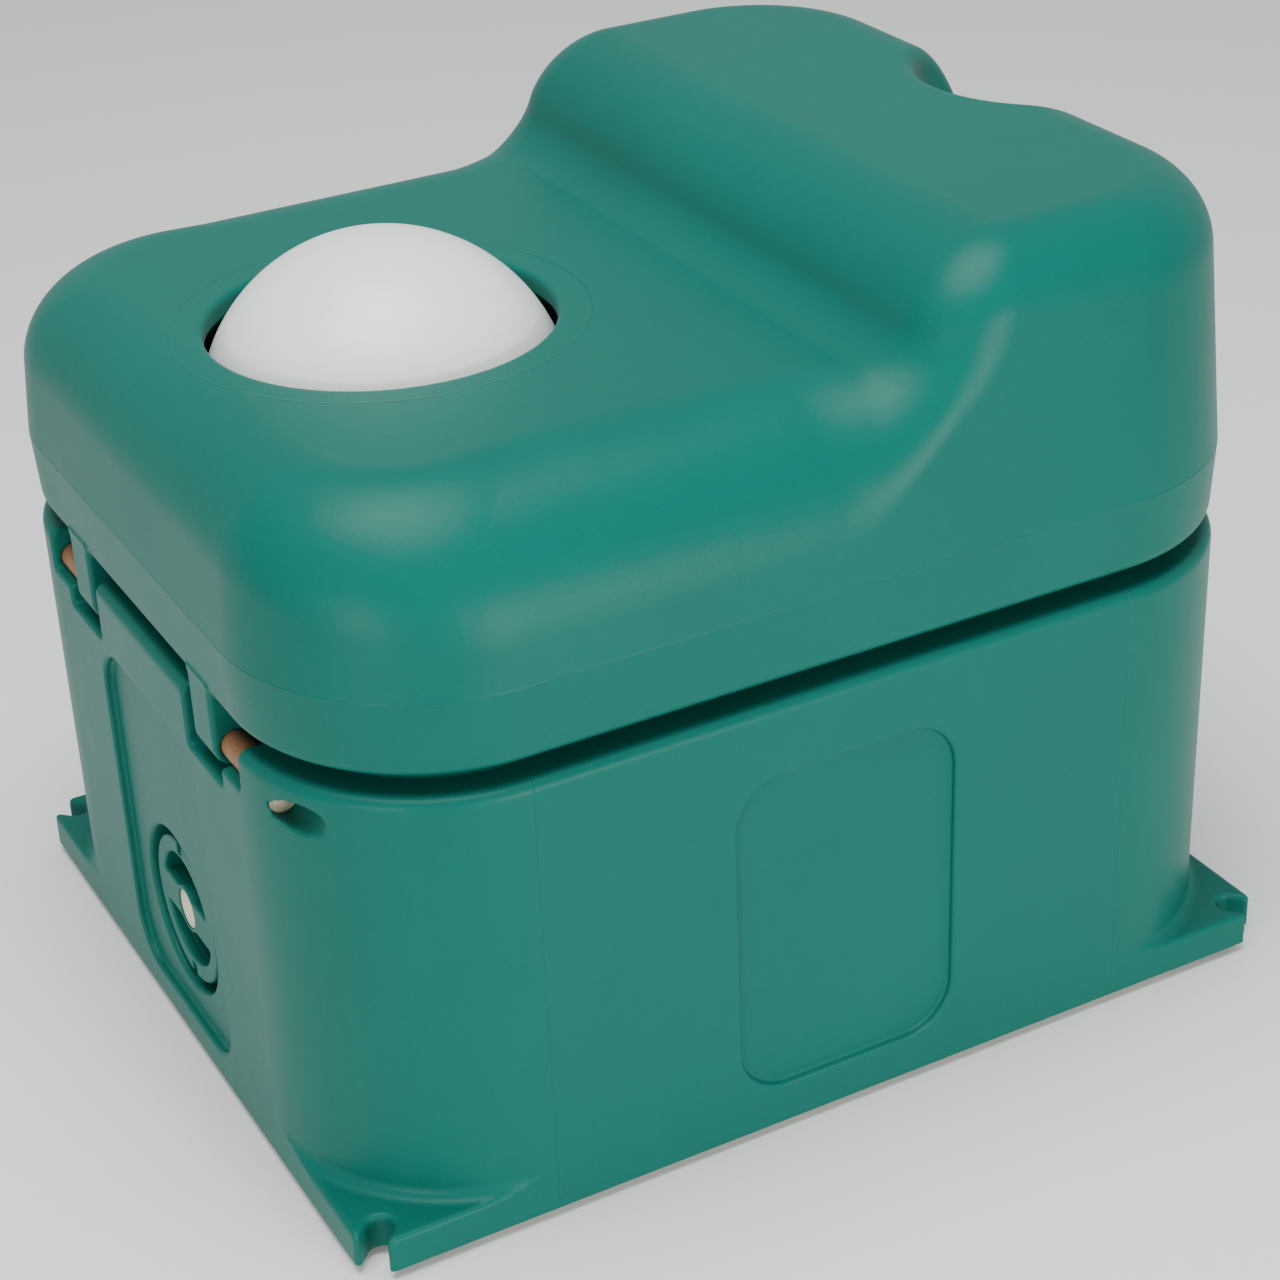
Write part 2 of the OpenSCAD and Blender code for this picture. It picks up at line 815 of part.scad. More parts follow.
module float_nut() {
    low = float_top - float_h;
    color(brass) translate([float_x, riser_y, 0]) difference() {
        translate([0, 0, low - float_nut_h]) cylinder(h = float_nut_h, r = float_nut_r, $fn = 6);
        rod_z(rod_r, low - float_nut_h - eps, low + eps);
    }
}

// ---- guard between the ball and the valve ----

module valve_guard() {
    width = tub_w - 2 * guard_side_gap;
    rows = floor((guard_h - guard_first - hole_clear) / guard_pitch);
    columns = floor((width - 2 * guard_margin) / guard_pitch);
    color(steel) difference() {
        union() {
            translate([-width / 2, guard_y, shelf_z]) cube([width, guard_t, guard_h]);
            translate([-width / 2, guard_y, shelf_z]) cube([width, guard_foot_l + guard_t, guard_t]);
        }
        for (i = [0 : columns - 1], k = [0 : rows - 1]) {
            translate([(i - (columns - 1) / 2) * guard_pitch, 0, shelf_z + guard_first + k * guard_pitch])
                rod_y(guard_hole_r, guard_y - eps, guard_y + guard_t + eps);
        }
        guard_screw_places() rod_z(guard_screw_r + 0.3, shelf_z - eps, shelf_z + guard_t + eps);
    }
}

module guard_screws() {
    color(steel) guard_screw_places() {
        rod_z(guard_screw_r, shelf_z - skin + 1, shelf_z + guard_t);
        rod_z(2 * guard_screw_r, shelf_z + guard_t, shelf_z + guard_t + 3);
    }
}

base_shell();
base_floor();
base_feet();
tub_skin();
shaft_skin();
base_foam();
lid_shell();
lid_foam();
ball_shell();
ball_plug();
hinge_pin_left();
hinge_pin_right();
rim_seal();
drain_collar();
drain_seal();
drain_plug_shell();
drain_plug_foam();
inlet_pipe();
inlet_sleeve();
inlet_gasket();
inlet_nut();
valve_body();
valve_cap();
valve_plunger();
plunger_washer();
valve_pivot_pin();
float_arm();
float();
float_nut();
valve_guard();
guard_screws();
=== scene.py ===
# Looks of the insulated livestock water trough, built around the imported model.
# The object is put together from the ground up: base, seal, supply, valve, guard, ball, lid,
# hinge pins and drain. Lengths are in metres.
import json
import math

import bpy
import bmesh
import numpy as np
import openvdb
from mathutils import Matrix, Quaternion, Vector


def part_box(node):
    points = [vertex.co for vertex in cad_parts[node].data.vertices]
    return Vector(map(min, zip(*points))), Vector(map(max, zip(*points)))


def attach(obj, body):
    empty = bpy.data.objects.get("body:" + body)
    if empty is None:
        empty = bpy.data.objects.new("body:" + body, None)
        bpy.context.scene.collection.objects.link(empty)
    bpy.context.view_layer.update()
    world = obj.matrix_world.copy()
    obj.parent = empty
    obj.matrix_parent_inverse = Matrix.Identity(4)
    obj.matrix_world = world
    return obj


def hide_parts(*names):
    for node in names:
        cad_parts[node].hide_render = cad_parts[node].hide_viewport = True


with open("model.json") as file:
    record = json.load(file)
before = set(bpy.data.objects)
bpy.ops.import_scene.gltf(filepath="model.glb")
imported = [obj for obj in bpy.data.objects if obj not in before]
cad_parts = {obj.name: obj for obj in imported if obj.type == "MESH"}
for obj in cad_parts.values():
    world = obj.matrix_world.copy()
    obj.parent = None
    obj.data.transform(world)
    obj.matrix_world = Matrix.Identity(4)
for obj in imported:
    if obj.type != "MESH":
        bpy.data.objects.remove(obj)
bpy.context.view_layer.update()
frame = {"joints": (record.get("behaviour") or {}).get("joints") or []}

# ---- Camera ----
# A long lens a little above the trough, from its right-hand front corner.
camera_azimuth = math.radians(62.28)
camera_elevation = math.radians(28.99)
camera_roll = math.radians(-2.434)
camera_data = bpy.data.cameras.new("camera")
camera_data.sensor_width = 36.0
camera_data.lens = 79.49
camera_data.clip_end = 20.0
camera = bpy.data.objects.new("camera", camera_data)
bpy.context.scene.collection.objects.link(camera)
view_direction = Vector((
    -math.sin(camera_azimuth) * math.cos(camera_elevation),
    math.cos(camera_azimuth) * math.cos(camera_elevation),
    -math.sin(camera_elevation)))
camera.rotation_mode = "QUATERNION"
camera.rotation_quaternion = (view_direction.to_track_quat("-Z", "Y")
                              @ Quaternion((0, 0, 1), camera_roll))
camera.location = (1.6098, -0.8294, 1.2208)
bpy.context.scene.camera = camera

# ---- Floor and light ----
# A plain pale floor, two low lamps before the right side and the front, and a big one overhead.
floor_half = 6.0
floor_mesh = bpy.data.meshes.new("floor")
floor_mesh.from_pydata(
    [(-floor_half, -floor_half, 0), (floor_half, -floor_half, 0),
     (floor_half, floor_half, 0), (-floor_half, floor_half, 0)], [], [(0, 1, 2, 3)])
floor = bpy.data.objects.new("floor", floor_mesh)
bpy.context.scene.collection.objects.link(floor)
floor_material = bpy.data.materials.new("pale_floor")
floor_material.use_nodes = True
floor_shader = floor_material.node_tree.nodes["Principled BSDF"]
floor_shader.inputs["Base Color"].default_value = (0.86, 0.86, 0.85, 1)
floor_shader.inputs["Roughness"].default_value = 0.85
floor_mesh.materials.append(floor_material)

world = bpy.data.worlds.new("studio")
world.use_nodes = True
world.node_tree.nodes["Background"].inputs["Color"].default_value = (0.95, 0.97, 1.0, 1)
world.node_tree.nodes["Background"].inputs["Strength"].default_value = 0.62
bpy.context.scene.world = world


def soft_lamp(name, place, aim, size, power):
    """Square lamp at a place, turned to face another."""
    data = bpy.data.lights.new(name, "AREA")
    data.shape = "SQUARE"
    data.size = size
    data.energy = power
    lamp = bpy.data.objects.new(name, data)
    bpy.context.scene.collection.objects.link(lamp)
    lamp.location = place
    lamp.rotation_mode = "QUATERNION"
    lamp.rotation_quaternion = (Vector(aim) - Vector(place)).to_track_quat("-Z", "Y")
    return lamp


soft_lamp("side_lamp", (2.57, 0.36, 0.55), (0, 0, 0.42), 0.7, 34)
soft_lamp("front_lamp", (1.60, -2.05, 0.55), (0, 0, 0.42), 0.6, 16)
soft_lamp("top_lamp", (0.3, -0.4, 3.0), (0, 0, 0.3), 1.8, 95)

# ---- Base ----
# The base is one rotomoulded polyethylene shell: outer walls, feet, rim, tub and well in one skin,
# filled with foam. Every edge has the soft rounding of such a moulding.
base_low, base_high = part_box("base_shell")
body_w = base_high.x - base_low.x
body_l = base_high.y - base_low.y
half_w, half_l = body_w / 2, body_l / 2
hinge = next(j for j in frame["joints"] if j["name"] == "lid_hinge")
hinge_y, hinge_z = hinge["pos_m"][1], hinge["pos_m"][2]
corner_r = 0.138
rim_z = 0.332
foot_h = 0.032
plan_edge_r = 0.006
neck_w, neck_l, neck_top_z = 0.492, 0.602, 0.420
tub_w, tub_l, tub_floor_z = 0.476, 0.586, 0.280
tub_forward = 0.005
well_w, well_l, well_floor_z = 0.300, 0.270, 0.062
well_forward = 0.155
panel_r = 0.036
drain_mid_z = 0.108
riser_x, riser_y = 0.120, 0.170
pin_bore_r = 0.01005


def meet(a, b, r):
    """What two shapes share, its edge rounded by r. Distances are negative inside."""
    return np.minimum(np.maximum(a, b), -r) + np.hypot(np.maximum(a + r, 0), np.maximum(b + r, 0))


def join(a, b, r):
    """Two shapes together, with a fillet of radius r."""
    return -meet(-a, -b, r)


def cut(a, b, r):
    """The first shape without the second, its edge rounded by r."""
    return meet(a, -b, r)


def rounded_plan(x, y, width, length, r):
    """Distance to a rounded rectangle round the origin."""
    qx = np.abs(x) - width / 2 + r
    qy = np.abs(y) - length / 2 + r
    return np.hypot(np.maximum(qx, 0), np.maximum(qy, 0)) + np.minimum(np.maximum(qx, qy), 0) - r


def between(v, low, high):
    """Distance to the layer between two planes."""
    return np.abs(v - (low + high) / 2) - (high - low) / 2


def mesh_from_form(name, form, low, high, step, target):
    """Closed mesh of the surface where form is zero, thinned to about target triangles, with its
    vertices drawn back onto the form and its normals taken from it."""
    block = 4
    start = np.array(low) - 2.5 * step
    blocks = [int(np.ceil((high[i] - start[i]) / step + 3) / block) + 1 for i in range(3)]
    centres = [start[i] + step * (block * np.arange(blocks[i]) + (block - 1) / 2) for i in range(3)]
    coarse = form(*np.meshgrid(*centres, indexing="ij")).astype(np.float32)
    near = np.abs(coarse) < 5.0 * step
    for axis in range(3):
        coarse = np.repeat(coarse, block, axis)
        near = np.repeat(near, block, axis)
    where = np.nonzero(near)
    at = [start[i] + step * where[i] for i in range(3)]
    coarse[where] = form(*at)
    grid = openvdb.FloatGrid(background=1.0)
    grid.copyFromArray(np.ascontiguousarray(coarse, dtype=np.float32))
    points, triangles, quads = grid.convertToPolygons(isovalue=0.0, adaptivity=0.0)
    points = start + step * np.asarray(points, float)
    if len(triangles) == 0:
        triangles = np.zeros((0, 3), int)
    quads = np.asarray(quads, int).reshape(-1, 4)
    faces = np.vstack([np.asarray(triangles, int), quads[:, [0, 1, 2]], quads[:, [0, 2, 3]]])
    ab = points[faces[:, 1]] - points[faces[:, 0]]
    ac = points[faces[:, 2]] - points[faces[:, 0]]
    if np.einsum("ij,ij->i", points[faces[:, 0]], np.cross(ab, ac)).sum() < 0:
        faces = faces[:, ::-1]
    mesh = bpy.data.meshes.new(name)
    mesh.from_pydata(snap_to_form(points, form, step, low, high)[0], [], faces)
    piece = bpy.data.objects.new(name, mesh)
    bpy.context.scene.collection.objects.link(piece)
    if len(faces) > target:
        thin = piece.modifiers.new("thin", "DECIMATE")
        thin.ratio = target / len(faces)
        thin.use_collapse_triangulate = True
        thinned = bpy.data.meshes.new_from_object(piece.evaluated_get(bpy.context.evaluated_depsgraph_get()))
        piece.modifiers.remove(thin)
        piece.data = thinned
        bpy.data.meshes.remove(mesh)
        mesh = thinned
        mesh.name = name
    flat = np.empty(len(mesh.vertices) * 3)
    mesh.vertices.foreach_get("co", flat)
    points, normals = snap_to_form(flat.reshape(-1, 3), form, step, low, high)
    mesh.vertices.foreach_set("co", points.ravel())
    mesh.polygons.foreach_set("use_smooth", np.ones(len(mesh.polygons), bool))
    mesh.normals_split_custom_set_from_vertices(normals)
    mesh.update()
    return piece


def snap_to_form(points, form, step, low, high):
    """Points moved onto the form's surface, and the directions in which it faces there. A point
    stays where it was if that doesn't bring it nearer, and none leaves the piece's box."""
    small = 0.0002
    first = points
    for _ in range(3):
        slope = np.stack([
            form(*(points + small * axis).T) - form(*(points - small * axis).T)
            for axis in np.eye(3)], 1) / (2 * small)
        size = np.maximum((slope ** 2).sum(1), 0.2)
        away = np.clip(form(*points.T), -step, step)
        points = points - slope * (away / size)[:, None]
    worse = np.abs(form(*points.T)) > np.abs(form(*first.T))
    far = np.linalg.norm(points - first, axis=1) > 1.5 * step
    points = np.where((worse | far)[:, None], first, points)
    points = np.clip(points, np.array(low), np.array(high))
    return points, slope / np.maximum(np.linalg.norm(slope, axis=1), 1e-6)[:, None]


def foot_slots(x, y):
    """Distance to the open diagonal anchor slots, each with a flared mouth."""
    slot_w, reach = 0.019, 0.026
    along = (half_w - np.abs(x) + half_l - np.abs(y)) / math.sqrt(2)
    across = np.abs((half_w - np.abs(x)) - (half_l - np.abs(y))) / math.sqrt(2)
    return np.hypot(np.maximum(along - reach, 0), across) - slot_w / 2


def base_form(x, y, z):
    """Distance to the base moulding, negative inside."""
    ax = np.abs(x)
    walls = rounded_plan(x, y, body_w, body_l, corner_r)
    body = meet(walls, between(z, 0, rim_z), 0.008)
    square = rounded_plan(x, y, body_w, body_l, plan_edge_r)
    feet = meet(cut(square, foot_slots(x, y), 0.005), between(z, 0, foot_h), 0.0035)
    body = np.maximum(join(body, feet, 0.009), square)
    bead_in, bead_w = 0.030, 0.007
    bead = rounded_plan(x, y, body_w - 2 * bead_in, body_l - 2 * bead_in, corner_r - bead_in)
    ledge_in = bead_in + bead_w
    ledge = rounded_plan(x, y, body_w - 2 * ledge_in, body_l - 2 * ledge_in, corner_r - ledge_in)
    body = join(body, meet(cut(bead, ledge, 0.002), z - (rim_z + 0.012), 0.002), 0.002)
    neck = rounded_plan(x, y + tub_forward, neck_w, neck_l, 0.080)
    tub = rounded_plan(x, y + tub_forward, tub_w, tub_l, 0.072)
    body = join(body, meet(neck, z - neck_top_z, 0.0035), 0.004)
    well = rounded_plan(x, y + well_forward, well_w, well_l, 0.060)
    hollow = join(meet(tub, tub_floor_z - z, 0.020), meet(well, well_floor_z - z, 0.030), 0.012)
    body = cut(body, hollow, 0.0035)
    side_panel = meet(rounded_plan(y, z - 0.1595, 0.166, 0.243, panel_r), half_w - 0.0045 - ax, 0.002)
    front_panel = meet(rounded_plan(x, z - 0.1555, 0.180, 0.255, panel_r), y + half_l - 0.006, 0.002)
    body = cut(cut(body, side_panel, 0.0025), front_panel, 0.0025)
    drain = np.hypot(x, z - drain_mid_z)
    drain_hollow = meet(drain - 0.062, y + half_l - 0.026, 0.003)
    drain_bore = meet(drain - 0.0517, y + 0.285, 0.001)
    body = cut(cut(body, drain_hollow, 0.003), drain_bore, 0.001)
    riser = np.hypot(x + riser_x, y - riser_y)
    body = cut(cut(body, meet(riser - 0.055, z - 0.268, 0.004), 0.004), riser - 0.0141, 0.001)
    pins = np.hypot(y - hinge_y, z - hinge_z)
    notch = meet(between(ax, 0.083, 0.144), 0.288 - z, 0.004)
    cradle = meet(between(ax, 0.120, 0.177), 0.302 - z, 0.004)
    notches = meet(join(notch, cradle, 0.002), y - (hinge_y + 0.0195), 0.004)
    body = cut(body, notches, 0.003)
    return cut(body, meet(pins - pin_bore_r, 0.083 - ax, 0.001), 0.0015)


base = mesh_from_form("base_moulding", base_form, base_low, base_high, 0.0025, 190000)


def add_node(tree, kind, operation=None, **inputs):
    """New node in a material, its sockets set to values or joined to other nodes' outputs."""
    made = tree.nodes.new(kind)
    if operation:
        made.operation = operation
    for socket, value in inputs.items():
        key = int(socket[1:]) if socket[0] == "i" and socket[1:].isdigit() else socket.replace("_", " ")
        if isinstance(value, bpy.types.NodeSocket):
            tree.links.new(value, made.inputs[key])
        else:
            made.inputs[key].default_value = value
    return made


def polyethylene(name, colour, line_axis, lines, roughness=0.40, ring=None):
    """Satin moulded polyethylene: faint clouds of colour, a fine pebbled skin taken from the mould,
    and the mould's parting lines at the given places along an axis, with bits of trimmed flash. A
    ring is (y, radius) of a round line that an insert leaves in the top."""
    material = bpy.data.materials.new(name)
    material.use_nodes = True
    tree = material.node_tree
    shader = tree.nodes["Principled BSDF"]
    shader.inputs["Specular IOR Level"].default_value = 0.15
    place = tree.nodes.new("ShaderNodeTexCoord").outputs["Object"]
    clouds = add_node(tree, "ShaderNodeTexNoise", Vector=place, Scale=7.0, Detail=4.0, Roughness=0.6)
    specks = add_node(tree, "ShaderNodeTexNoise", Vector=place, Scale=420.0, Detail=2.0)
    tint = add_node(tree, "ShaderNodeMix")
    tint.data_type = "RGBA"
    tree.links.new(clouds.outputs["Fac"], tint.inputs[0])
    tint.inputs[6].default_value = (*[c * 0.90 for c in colour], 1)
    tint.inputs[7].default_value = (*[c * 1.10 for c in colour], 1)
    grain = add_node(tree, "ShaderNodeMapRange", Value=specks.outputs["Fac"])
    grain.inputs["To Min"].default_value = 0.93
    grain.inputs["To Max"].default_value = 1.07
    shade = add_node(tree, "ShaderNodeVectorMath", "SCALE", Vector=tint.outputs[2],
                     Scale=grain.outputs["Result"])
    tree.links.new(shade.outputs["Vector"], shader.inputs["Base Color"])
    rough = add_node(tree, "ShaderNodeMapRange", Value=clouds.outputs["Fac"])
    rough.inputs["To Min"].default_value = roughness - 0.06
    rough.inputs["To Max"].default_value = roughness + 0.08
    tree.links.new(rough.outputs["Result"], shader.inputs["Roughness"])

    split = add_node(tree, "ShaderNodeSeparateXYZ", Vector=place)
    height = None
    for line in lines:
        off = add_node(tree, "ShaderNodeMath", "SUBTRACT", i0=split.outputs[line_axis], i1=line)
        away = add_node(tree, "ShaderNodeMath", "ABSOLUTE", i0=off.outputs[0])
        ridge = add_node(tree, "ShaderNodeMapRange", Value=away.outputs[0])
        ridge.inputs["From Max"].default_value = 0.0011
        ridge.inputs["To Min"].default_value = 1.0
        ridge.inputs["To Max"].default_value = 0.0
        if height is None:
            height = ridge.outputs["Result"]
        else:
            taller = add_node(tree, "ShaderNodeMath", "MAXIMUM", i0=height, i1=ridge.outputs["Result"])
            height = taller.outputs[0]
    pebbles = add_node(tree, "ShaderNodeTexNoise", Vector=place, Scale=900.0, Detail=3.0)
    peel = add_node(tree, "ShaderNodeTexNoise", Vector=place, Scale=60.0, Detail=2.0)
    bump_peel = add_node(tree, "ShaderNodeBump", Strength=0.35, Distance=0.0006, Height=peel.outputs["Fac"])
    bump_skin = add_node(tree, "ShaderNodeBump", Strength=0.30, Distance=0.0003,
                         Height=pebbles.outputs["Fac"], Normal=bump_peel.outputs["Normal"])
    last = bump_skin
    if height is not None:
        flash = add_node(tree, "ShaderNodeTexNoise", Vector=place, Scale=130.0, Detail=1.0)
        bits = add_node(tree, "ShaderNodeMath", "MULTIPLY", i0=height, i1=flash.outputs["Fac"])
        last = add_node(tree, "ShaderNodeBump", Strength=0.8, Distance=0.0009, Height=bits.outputs[0],
                        Normal=bump_skin.outputs["Normal"])
    if ring:
        centred = add_node(tree, "ShaderNodeMapping", Vector=place, Location=(0, -ring[0], 0),
                           Scale=(1, 1, 0))
        radius = add_node(tree, "ShaderNodeVectorMath", "LENGTH", Vector=centred.outputs["Vector"])
        off = add_node(tree, "ShaderNodeMath", "SUBTRACT", i0=radius.outputs["Value"], i1=ring[1])
        away = add_node(tree, "ShaderNodeMath", "ABSOLUTE", i0=off.outputs[0])
        trace = add_node(tree, "ShaderNodeMapRange", Value=away.outputs[0])
        trace.inputs["From Max"].default_value = 0.0012
        trace.inputs["To Min"].default_value = 1.0
        trace.inputs["To Max"].default_value = 0.0
        last = add_node(tree, "ShaderNodeBump", Strength=0.6, Distance=0.0007, Height=trace.outputs["Result"],
                        Normal=last.outputs["Normal"])
    tree.links.new(last.outputs["Normal"], shader.inputs["Normal"])
    return material


green = (0.0002, 0.114, 0.087)
base_green = polyethylene("base_green", green, 1, (-(half_l - corner_r), half_l - corner_r))
base.data.materials.append(base_green)
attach(base, "base")
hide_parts("base_shell", "base_floor", "base_feet", "tub_skin", "shaft_skin")

# ---- Lid ----
# The lid is a second rotomoulded shell with its own foam. A deck with the drinking opening runs
# back into a hood over the valve, with a hand grip hollowed out of the hood's rear edge.
lid_low, lid_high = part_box("lid_shell")
waist_z = 0.398
deck_z = 0.512
hood_z = lid_high.z
lid_foot_z = 0.346
deck_roof_z, hood_roof_z = 0.476, 0.552
grip_r = 0.099
opening_r = 0.117
lug_top_z = 0.354
slope_y = 0.067
slope_angle = math.radians(68)
ball_low, ball_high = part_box("ball_shell")
ball_y = (ball_low.y + ball_high.y) / 2


def lid_form(x, y, z):
    """Distance to the lid moulding, negative inside."""
    ax = np.abs(x)
    lean = np.where(z > waist_z, (z - waist_z) * 0.080, (waist_z - z) * 0.058)
    walls = rounded_plan(x, y, body_w, body_l, corner_r) + lean
    slope = (z - deck_z) * math.cos(slope_angle) - (y - slope_y) * math.sin(slope_angle)
    roof = join(z - deck_z, meet(z - hood_z, slope, 0.048), 0.022)
    beside = np.clip(0.5 + ((ax - half_w) - (np.abs(y) - half_l)) / 0.20, 0, 1)
    behind = np.clip(y / 0.090, 0, 1)
    behind = behind ** 2 * (3 - 2 * behind)
    lid = meet(walls, roof, (0.062 + 0.026 * beside) * (1 - behind) + 0.050 * behind)
    lid = meet(lid, lid_foot_z - z, 0.008)
    grip = np.sqrt(x ** 2 + (y - (half_l + 0.011)) ** 2 + (z - hood_z - 0.008) ** 2) - grip_r
    lid = cut(lid, grip, 0.010)
    under_deck = meet(rounded_plan(x, y, 0.512, 0.624, 0.084), z - deck_roof_z, 0.012)
    under_hood = meet(rounded_plan(x, y - 0.206, 0.492, 0.188, 0.042), z - hood_roof_z, 0.012)
    under_hood = meet(under_hood, -(grip - 0.006), 0.006)
    lid = cut(lid, join(under_deck, under_hood, 0.010), 0.004)
    radius = np.hypot(x, y - ball_y)
    opening = (radius - opening_r - np.clip(0.500 - z, 0, 0.024) * 0.875) * 0.85
    lid = cut(lid, opening, 0.004)
    pin = np.hypot(y - hinge_y, z - hinge_z)
    web = np.maximum(between(y, hinge_y - 0.015, hinge_y + 0.015), between(z, hinge_z, lug_top_z))
    lug = meet(np.minimum(pin - 0.015, web), between(ax, 0.095, 0.132), 0.003)
    return cut(join(lid, lug, 0.003), meet(pin - pin_bore_r, y + 0.30, 0.001), 0.0015)


lid = mesh_from_form("lid_moulding", lid_form, lid_low, lid_high, 0.0028, 180000)
lid_green = polyethylene("lid_green", green, 2, (waist_z,), ring=(ball_y, 0.139))
lid.data.materials.append(lid_green)
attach(lid, "lid")
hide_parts("lid_shell")

# ---- Insulating foam ----
# Rigid polyurethane is poured into both mouldings once they have cooled, and it fills every hollow
# of them. None of it shows, except where the drain plug is left open in the middle.
def surface(name, colour, roughness, metallic=0.0, blotch=0.08, blotch_scale=9.0,
            grain_scale=500.0, grain_depth=0.0002, stretch=(1, 1, 1)):
    """Finish with a drift of tone, an uneven gloss and a fine relief. stretch draws the relief out
    into marks along one axis, as turning, rolling or moulding leaves them."""
    material = bpy.data.materials.new(name)
    material.use_nodes = True
    tree = material.node_tree
    shader = tree.nodes["Principled BSDF"]
    shader.inputs["Metallic"].default_value = metallic
    place = tree.nodes.new("ShaderNodeTexCoord").outputs["Object"]
    drawn = add_node(tree, "ShaderNodeMapping", Vector=place, Scale=stretch)
    drift = add_node(tree, "ShaderNodeTexNoise", Vector=place, Scale=blotch_scale, Detail=4.0)
    grain = add_node(tree, "ShaderNodeTexNoise", Vector=drawn.outputs["Vector"], Scale=grain_scale,
                     Detail=3.0)
    tone = add_node(tree, "ShaderNodeMix")
    tone.data_type = "RGBA"
    tree.links.new(drift.outputs["Fac"], tone.inputs[0])
    tone.inputs[6].default_value = (*[c * (1 - blotch) for c in colour], 1)
    tone.inputs[7].default_value = (*[min(c * (1 + blotch), 1) for c in colour], 1)
    tree.links.new(tone.outputs[2], shader.inputs["Base Color"])
    gloss = add_node(tree, "ShaderNodeMapRange", Value=grain.outputs["Fac"])
    gloss.inputs["To Min"].default_value = max(roughness - 0.07, 0.03)
    gloss.inputs["To Max"].default_value = roughness + 0.07
    tree.links.new(gloss.outputs["Result"], shader.inputs["Roughness"])
    relief = add_node(tree, "ShaderNodeBump", Strength=0.5, Distance=grain_depth, Height=grain.outputs["Fac"])
    tree.links.new(relief.outputs["Normal"], shader.inputs["Normal"])
    return material


foam = surface("poured_foam", (0.62, 0.55, 0.38), 0.9, blotch=0.12, blotch_scale=40.0,
               grain_scale=900.0, grain_depth=0.0012)
skin_t = 0.006
for body, form in (("base", base_form), ("lid", lid_form)):
    low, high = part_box(body + "_foam")
    filling = mesh_from_form(body + "_foam_fill", lambda x, y, z, form=form: form(x, y, z) + skin_t,
                             low, high, 0.007, 24000)
    filling.data.materials.append(foam)
    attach(filling, body)
    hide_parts(body + "_foam")

# ---- Rim seal ----
# A strip of black sponge rubber lies on the rim inside the bead, in the shadow gap under the lid.
# It is cut from a ribbed extrusion and joined into one ring.
seal_low, seal_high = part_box("rim_seal")
seal_w = 0.010
seal_corner_r = 0.094
ribs = 3


def finished(name, mesh, sharp=35):
    """Object for a mesh, shaded smooth except across edges sharper than an angle in degrees."""
    mesh.polygons.foreach_set("use_smooth", np.ones(len(mesh.polygons), bool))
    mesh.set_sharp_from_angle(angle=math.radians(sharp))
    piece = bpy.data.objects.new(name, mesh)
    bpy.context.scene.collection.objects.link(piece)
    return piece


def install(piece, material, body, slot_name, *nodes):
    """The piece gets its finish, rides on its body and stands for its nodes of the model."""
    piece.data.materials.append(material)
    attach(piece, body)
    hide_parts(*nodes)


def ring_round_plan(name, width, length, r, section):
    """Closed ring round a rounded rectangle. section holds (inwards, height) pairs."""
    steps = 20
    around = []
    for quarter in range(4):
        cx = (width / 2 - r) * (1 if quarter in (0, 3) else -1)
        cy = (length / 2 - r) * (1 if quarter < 2 else -1)
        for k in range(steps + 1):
            turn = math.radians(90 * (quarter + k / steps))
            around.append((cx, cy, math.cos(turn), math.sin(turn)))
    shape = bmesh.new()
    loops = [[shape.verts.new((cx + (r - inwards) * ux, cy + (r - inwards) * uy, height))
              for inwards, height in section] for cx, cy, ux, uy in around]
    for i, loop in enumerate(loops):
        following = loops[(i + 1) % len(loops)]
        for j in range(len(section)):
            k = (j + 1) % len(section)
            shape.faces.new((loop[j], loop[k], following[k], following[j]))
    bmesh.ops.recalc_face_normals(shape, faces=shape.faces)
    mesh = bpy.data.meshes.new(name)
    shape.to_mesh(mesh)
    shape.free()
    return finished(name, mesh)


seal_h = seal_high.z - seal_low.z
seal_section = []
for k in range(25):
    share = k / 24
    crest = 0.0006 * (0.5 - 0.5 * math.cos(2 * math.pi * ribs * share))
    seal_section.append((crest, seal_low.z + seal_h * share))
for k in range(24, -1, -1):
    share = k / 24
    hollow = 0.0006 * (0.5 - 0.5 * math.cos(2 * math.pi * ribs * share))
    seal_section.append((seal_w - hollow, seal_low.z + seal_h * share))
seal = ring_round_plan("rim_seal_strip", seal_high.x - seal_low.x, seal_high.y - seal_low.y,
                       seal_corner_r, seal_section)
rubber = surface("black_rubber", (0.018, 0.018, 0.019), 0.62, grain_scale=700.0, grain_depth=0.0003)
install(seal, rubber, "base", "black_rubber", "rim_seal")

# ---- Water supply ----
# A brass pipe comes up through the floor of the tub. Its lower end is threaded for the hose, a
# backnut and gasket clamp its flange to the floor, and foam rubber lags it in the shaft.
pipe_low, pipe_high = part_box("inlet_pipe")
riser = ((pipe_low.x + pipe_high.x) / 2, (pipe_low.y + pipe_high.y) / 2, 0)
pipe_r = 0.014
bore_r = 0.009
stub_r = 0.0132
stub_top = 0.058
thread_pitch = 0.0018
thread_deep = 0.0011


def soften(outline, r, steps=3):
    """Outline with each of its corners off the axis rounded by about r."""
    soft = []
    for i, at in enumerate(outline):
        before, after = outline[i - 1], outline[(i + 1) % len(outline)]
        if at[0] == 0:
            soft.append(at)
            continue
        corner = Vector(at)
        back, on = Vector(before) - corner, Vector(after) - corner
        reach = min(r, back.length * 0.45, on.length * 0.45)
        start = corner + back.normalized() * reach
        end = corner + on.normalized() * reach
        for k in range(steps + 1):
            t = k / steps
            soft.append(tuple((1 - t) ** 2 * start + 2 * t * (1 - t) * corner + t ** 2 * end))
    return soft


